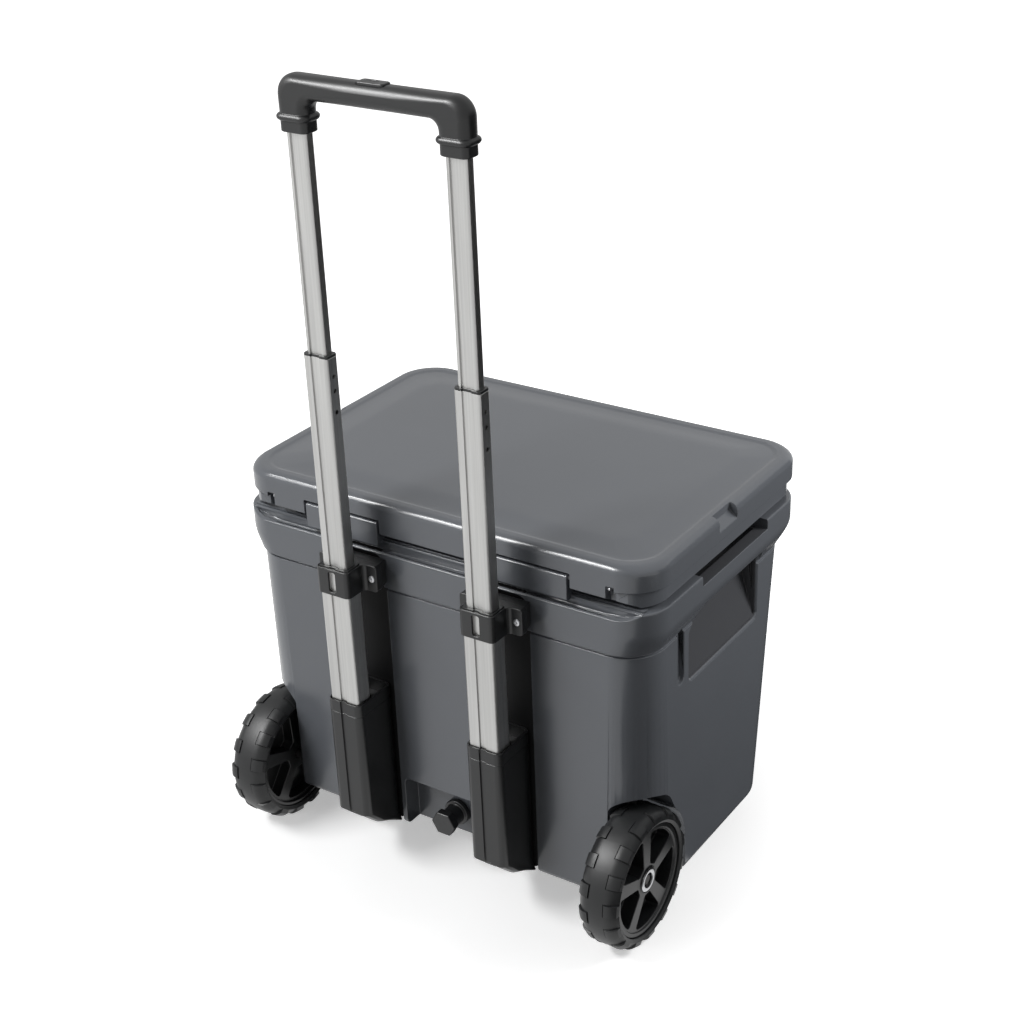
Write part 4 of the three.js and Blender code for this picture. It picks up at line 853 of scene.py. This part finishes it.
def tyre_skin():
    """Tyre about the wheel's axis on a grid of width and turn. The tread radius falls with the
    square of the width and with a power of the way from the flat middle to the side, and steps
    up on the lugs, past a fine groove round each. Lugs and grooves have grid lines of their own.
    Lug measures round the wheel are in degrees, and the two rows stand half a pitch apart."""
    half = np.concatenate([
        [0, 3, 6, 8.6, lug_in - 1.6, lug_in - 1.1, lug_in - 0.5, lug_in],
        [14, 17, 20, 22.5, 24.5, 25.6, lug_out, tyre_side],
    ])
    width = np.concatenate([-half[:0:-1], half])
    pitch = 360 / lug_rows
    near = np.array([0, 1.7, 3.4, lug, lug + 0.3, lug + 0.62, 6.0])
    turn = np.concatenate([-near[:0:-1], near])
    turn = np.concatenate([turn, turn + pitch / 2])
    around = np.radians((np.arange(lug_rows)[:, None] * pitch + turn).ravel())
    reach = np.abs(width)
    shoulder = np.clip((reach - flat_half) / (tyre_side - flat_half), 0, 1)
    base = wheel_radius - 0.6 - 0.005 * reach ** 2 - 8.2 * shoulder ** 2.2
    block_top = wheel_radius - 0.05 - 7.4 * shoulder ** 2.3
    aside = np.mod(np.degrees(around)[None, :] + pitch / 2 * (width[:, None] > 0) + pitch / 2, pitch)
    aside = np.abs(aside - pitch / 2)
    on_lug = (aside < lug + 0.01) & ((reach >= lug_in) & (reach <= lug_out))[:, None]
    beside = (aside < lug + 0.63) & ((reach > lug_in - groove_wide) & (reach <= lug_out))[:, None] & ~on_lug
    radius = np.where(on_lug, block_top[:, None], base[:, None]) - groove_deep * beside
    inward, wall_radius = np.array([(0, 77.0), (1.0, 75.6), (1.2, 74.6), (2.4, tyre_bore)]).T
    wall = np.broadcast_to(wall_radius[:, None], (len(inward), len(around)))
    radius = np.concatenate([wall[::-1], radius, wall])
    width = np.concatenate([(inward - tyre_side)[::-1], width, tyre_side - inward])[:, None]
    return skin(rows(width, -radius * np.sin(around), radius * np.cos(around)), wrap=True)


def turned(profile, steps=96):
    """Profile of width and radius turned about the wheel's axis and closed on itself."""
    profile = np.array(profile, float)
    around = np.radians(np.arange(steps) * 360 / steps)
    radius = profile[:, 1:]
    return skin(rows(profile[:, :1], -radius * np.sin(around), radius * np.cos(around)), wrap=True)


def on_axle(part, side):
    """A wheel part set on its axle, outer face away from the cooler."""
    points, quads, ends = part
    return points * [side, 1, 1] + [side * wheel_x, wheel_depth, wheel_radius], quads, ends


def window_outline(angle):
    """Gap between two spokes, about an angle: an arc of the rim on the outside and a narrow flat
    at the boss, with round corners."""
    rim = on_circle([0, 0], rim_reach, angle + np.linspace(-rim_turn, rim_turn, 9))
    boss = on_circle([0, 0], boss_reach, angle + np.array([boss_turn, -boss_turn]))
    return softened(np.concatenate([rim, boss]), 4.0, steps=3)


hub_profile = [
    (-18, 6.4), (16.2, 6.4), (16.2, 15.3), (21.2, 15.3), (21.6, 15.8), (21.6, 16.8), (20.5, 17.8),
    (20.5, 65.2), (20.9, 65.9), (22.0, 66.4), (22.5, 67), (22.5, 71.4), (21.6, 72.3), (-22.5, 72.3),
    (-22.5, 68), (-18, 67),
]
ring_profile = [(16.5, 9.5), (21.6, 9.5), (22.5, 10.6), (22.5, 13.8), (21.6, 15), (16.5, 15)]
for hand, side in (("left", -1), ("right", 1)):
    tyre = make(f"tyre_tread_{hand}", on_axle(tyre_skin(), side))
    shade(tyre, 38)
    fit(tyre, rubber, f"wheel_{hand}", "tyre_rubber", f"tyre_{hand}")
    hub = make(f"spoked_hub_{hand}", on_axle(turned(hub_profile), side))
    for angle in -90 + 360 / spokes * np.arange(spokes):
        for reach in ((2, 60), (-60, -2)):
            carve(hub, on_axle(pushed(window_outline(angle), reach, 0), side))
    round_edges(hub, 0.9, angle=42)
    fit(hub, black, f"wheel_{hand}", "black_plastic", f"hub_{hand}")
    ring = make(f"boss_ring_{hand}", on_axle(turned(ring_profile, 64), side))
    shade(ring, 50)
    fit(ring, steel, f"wheel_{hand}", "bright_steel", f"hub_ring_{hand}")
dark_steel = Finish("oiled steel", Metallic=1.0)
film = dark_steel.noise(90, 4)
dark_steel = dark_steel.finish(
    Base_Color=dark_steel.blend(film, colour("2e2d2c"), colour("4a4948")),
    Roughness=0.3 + film * 0.2,
)
coat(dark_steel, "axle_left", "axle_right")

# ---------------------------------------------------------------------------------------------
# Feet and latches. Two rubber feet hold the front up level with the wheels, and two stretchy
# rubber straps hang from pins in the lid's ears to hold it shut.

foot_x, foot_half, tread_high = 215.0, 35.0, 1.6
foot_shrink = ((0, 4), (1.2, 2.8), (6, 2))
strap = [
    (456.9, 489.5), (457.2, 491.4), (458.4, 493.0), (460.9, 493.5), (463.4, 493.0), (464.6, 491.4),
    (464.9, 489.5), (464.2, 470.0), (464.0, 450.0), (464.6, 435.0), (466.8, 424.0), (468.9, 416.5),
    (468.6, 415.5), (457.5, 415.5), (456.9, 416.1),
]
for hand, side in (("left", -1), ("right", 1)):
    low, high = (np.array(corner) * 1000 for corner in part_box(f"foot_{hand}"))
    rear, front = low[1] - tubes_rear * 1000, high[1] - tubes_rear * 1000
    sole = [
        (z, foot_half - inward, rear + inward, front - inward, corner)
        for (z, inward), corner in zip(foot_shrink, (8, 9, 10))
    ]
    levels = [*sole, (high[2], foot_half, rear, front, 10)]
    foot = make(f"rubber_foot_{hand}", stacked(levels, 8, side * foot_x))
    for x in side * foot_x + np.array([-18, -6, 6, 18]):
        carve(foot, block(x - 2, x + 2, rear - 5, front + 5, -2, tread_high))
    round_edges(foot, 0.6)
    fit(foot, soft_black, "tub", "soft_rubber", f"foot_{hand}")

    x = side * latch_x
    latch = make(f"latch_strap_{hand}", pushed(strap, (x - latch_half, x + latch_half), 0))
    for z in (424, 430, 436):
        rib_gap = softened(rectangle(464.9, 470, z, z + 2.4), 1.0)
        carve(latch, pushed(rib_gap, (x - 30, x + 30), 0))
    window = softened(rectangle(x - 12, x + 12, 448, 476), 4)
    carve(latch, pushed(window, (462.4, 470), 1))
    round_edges(latch, 0.7, angle=42)
    fit(latch, soft_black, f"latch_{hand}", "soft_rubber", f"latch_{hand}")

# ---------------------------------------------------------------------------------------------
# Studio. A white floor and surround, soft lamps high on the left, low behind and on the right,
# a lamp that shows only in what reflects it, and black cards that do too. None of it belongs to
# the cooler.


def sheet(name, corners, finish):
    """A flat piece of the studio with four corners."""
    mesh = bpy.data.meshes.new(name)
    mesh.from_pydata(corners, [], [(0, 1, 2, 3)])
    mesh.materials.append(finish.material)
    laid = put(name, mesh)
    return laid


# The floor glows for the camera, faintly near the cooler so that its shadow shows and fully far
# from it, and in what reflects it.
paper = Finish("paper", Roughness=0.9, Specular_IOR_Level=0.0, Emission_Strength=1.06)
near_glow, far_glow, mirrored_glow = 0.36, 1.0, 0.87
rays = paper.tree.nodes.new("ShaderNodeLightPath")
camera_ray = Signal(paper.tree, rays.outputs["Is Camera Ray"])
glossy_ray = Signal(paper.tree, rays.outputs["Is Glossy Ray"])
far = paper.add("ShaderNodeVectorMath", {"operation": "LENGTH"}, out=1, Vector=paper.place)
far = paper.add("ShaderNodeMapRange", {"interpolation_type": "SMOOTHSTEP"},
                Value=far, From_Min=0.27, From_Max=0.72)
glow = camera_ray * (far * (far_glow - near_glow) + near_glow) + glossy_ray * mirrored_glow
paper.finish(
    Base_Color=paper.blend(camera_ray, (0.22, 0.22, 0.22, 1), (0.96, 0.96, 0.96, 1)),
    Emission_Color=paper.blend(glow, (0, 0, 0, 1), (1, 1, 1, 1)),
)
sheet("floor", [(-9, -9, 0), (9, -9, 0), (9, 9, 0), (-9, 9, 0)], paper)

velvet = Finish("black velvet", Roughness=1.0, Specular_IOR_Level=0.0, Base_Color=(0.01, 0.01, 0.01, 1))


def card(name, *corners):
    """A black card that shows only in what reflects it."""
    flag = sheet(name, corners, velvet)
    flag.visible_camera = flag.visible_shadow = flag.visible_diffuse = False


def lying(name, *corners):
    """A card that lies just above the floor, given by its corners in plan."""
    card(name, *((x, y, 0.004) for x, y in corners))


lying("low_card", (0.32, -0.6), (1.3, -1.1), (1.3, 0.0), (0.42, 0.0))
lying("side_card", (0.2, 0.0), (2.4, 0.0), (1.6, 2.6), (0.2, 2.6))
lying("under_card", (-0.26, -0.15), (0.26, -0.15), (0.2, 0.0), (0.2, 0.24))
card("tall_card", (2.4, 0.03, 0.0), (1.0, 2.6, 0.0), (1.0, 2.6, 1.3), (2.4, 0.03, 1.3))

world = bpy.data.worlds.new("studio")
bpy.context.scene.world = world
world.use_nodes = True
sky = world.node_tree
rays = sky.nodes.new("ShaderNodeLightPath")
camera_ray, glossy_ray, through_ray = (
    Signal(sky, rays.outputs[name]) for name in ("Is Camera Ray", "Is Glossy Ray", "Is Transmission Ray")
)
backdrop = sky.nodes["Background"]
backdrop.inputs["Color"].default_value = (1, 1, 1, 1)
lighting, seen, mirrored = 0.18, 1.0, 0.75
extra = (camera_ray + through_ray) * (seen - lighting) + glossy_ray * (mirrored - lighting)
feed(sky, backdrop.inputs["Strength"], extra + lighting)


def lamp(name, place, aim, width, height, power):
    """A soft rectangular lamp at a place, aimed at a point."""
    light = bpy.data.lights.new(name, "AREA")
    light.shape = "RECTANGLE"
    light.size, light.size_y, light.energy = width, height, power
    hung = put(name, light)
    hung.location = place
    hung.rotation_euler = (Vector(aim) - Vector(place)).to_track_quat("-Z", "Y").to_euler()
    hung.visible_camera = False
    return hung


lamp("key_lamp", (-1.3, -1.6, 2.35), (0, 0, 0.4), 1.5, 0.45, 49)
lamp("rear_lamp", (-2.6, -4.2, 0.9), (0, 0, 0.3), 3.0, 2.0, 78).visible_glossy = False
lamp("side_lamp", (1.3, 0.7, 1.1), (0.3, 0.0, 0.42), 0.8, 0.6, 18).visible_glossy = False
lamp("gloss_lamp", (-1.1, -1.7, 2.15), (0, 0, 0.6), 1.2, 1.6, 62).visible_diffuse = False

# The camera stands behind the cooler on its right, well above the grip, and looks down at it.

camera_place = (1.16935, -1.68396, 1.47198)
azimuth, elevation, tilt = (math.radians(angle) for angle in (32.53, 26.83, -1.45))
back = Vector((
    math.sin(azimuth) * math.cos(elevation), -math.cos(azimuth) * math.cos(elevation), math.sin(elevation),
))
sideways = (-back).cross(Vector((0, 0, 1))).normalized()
upward = sideways.cross(-back)
across = math.cos(tilt) * sideways + math.sin(tilt) * upward
upright = -math.sin(tilt) * sideways + math.cos(tilt) * upward
camera = put("camera", bpy.data.cameras.new("camera"))
camera.data.lens = 64.29
camera.data.shift_x, camera.data.shift_y = -0.05916, 0.00334
camera.data.clip_start, camera.data.clip_end = 0.05, 60
attitude = Matrix((across, upright, back)).transposed().to_4x4()
camera.matrix_world = Matrix.Translation(camera_place) @ attitude
bpy.context.scene.camera = camera
bpy.context.scene.view_settings.view_transform = "Standard"
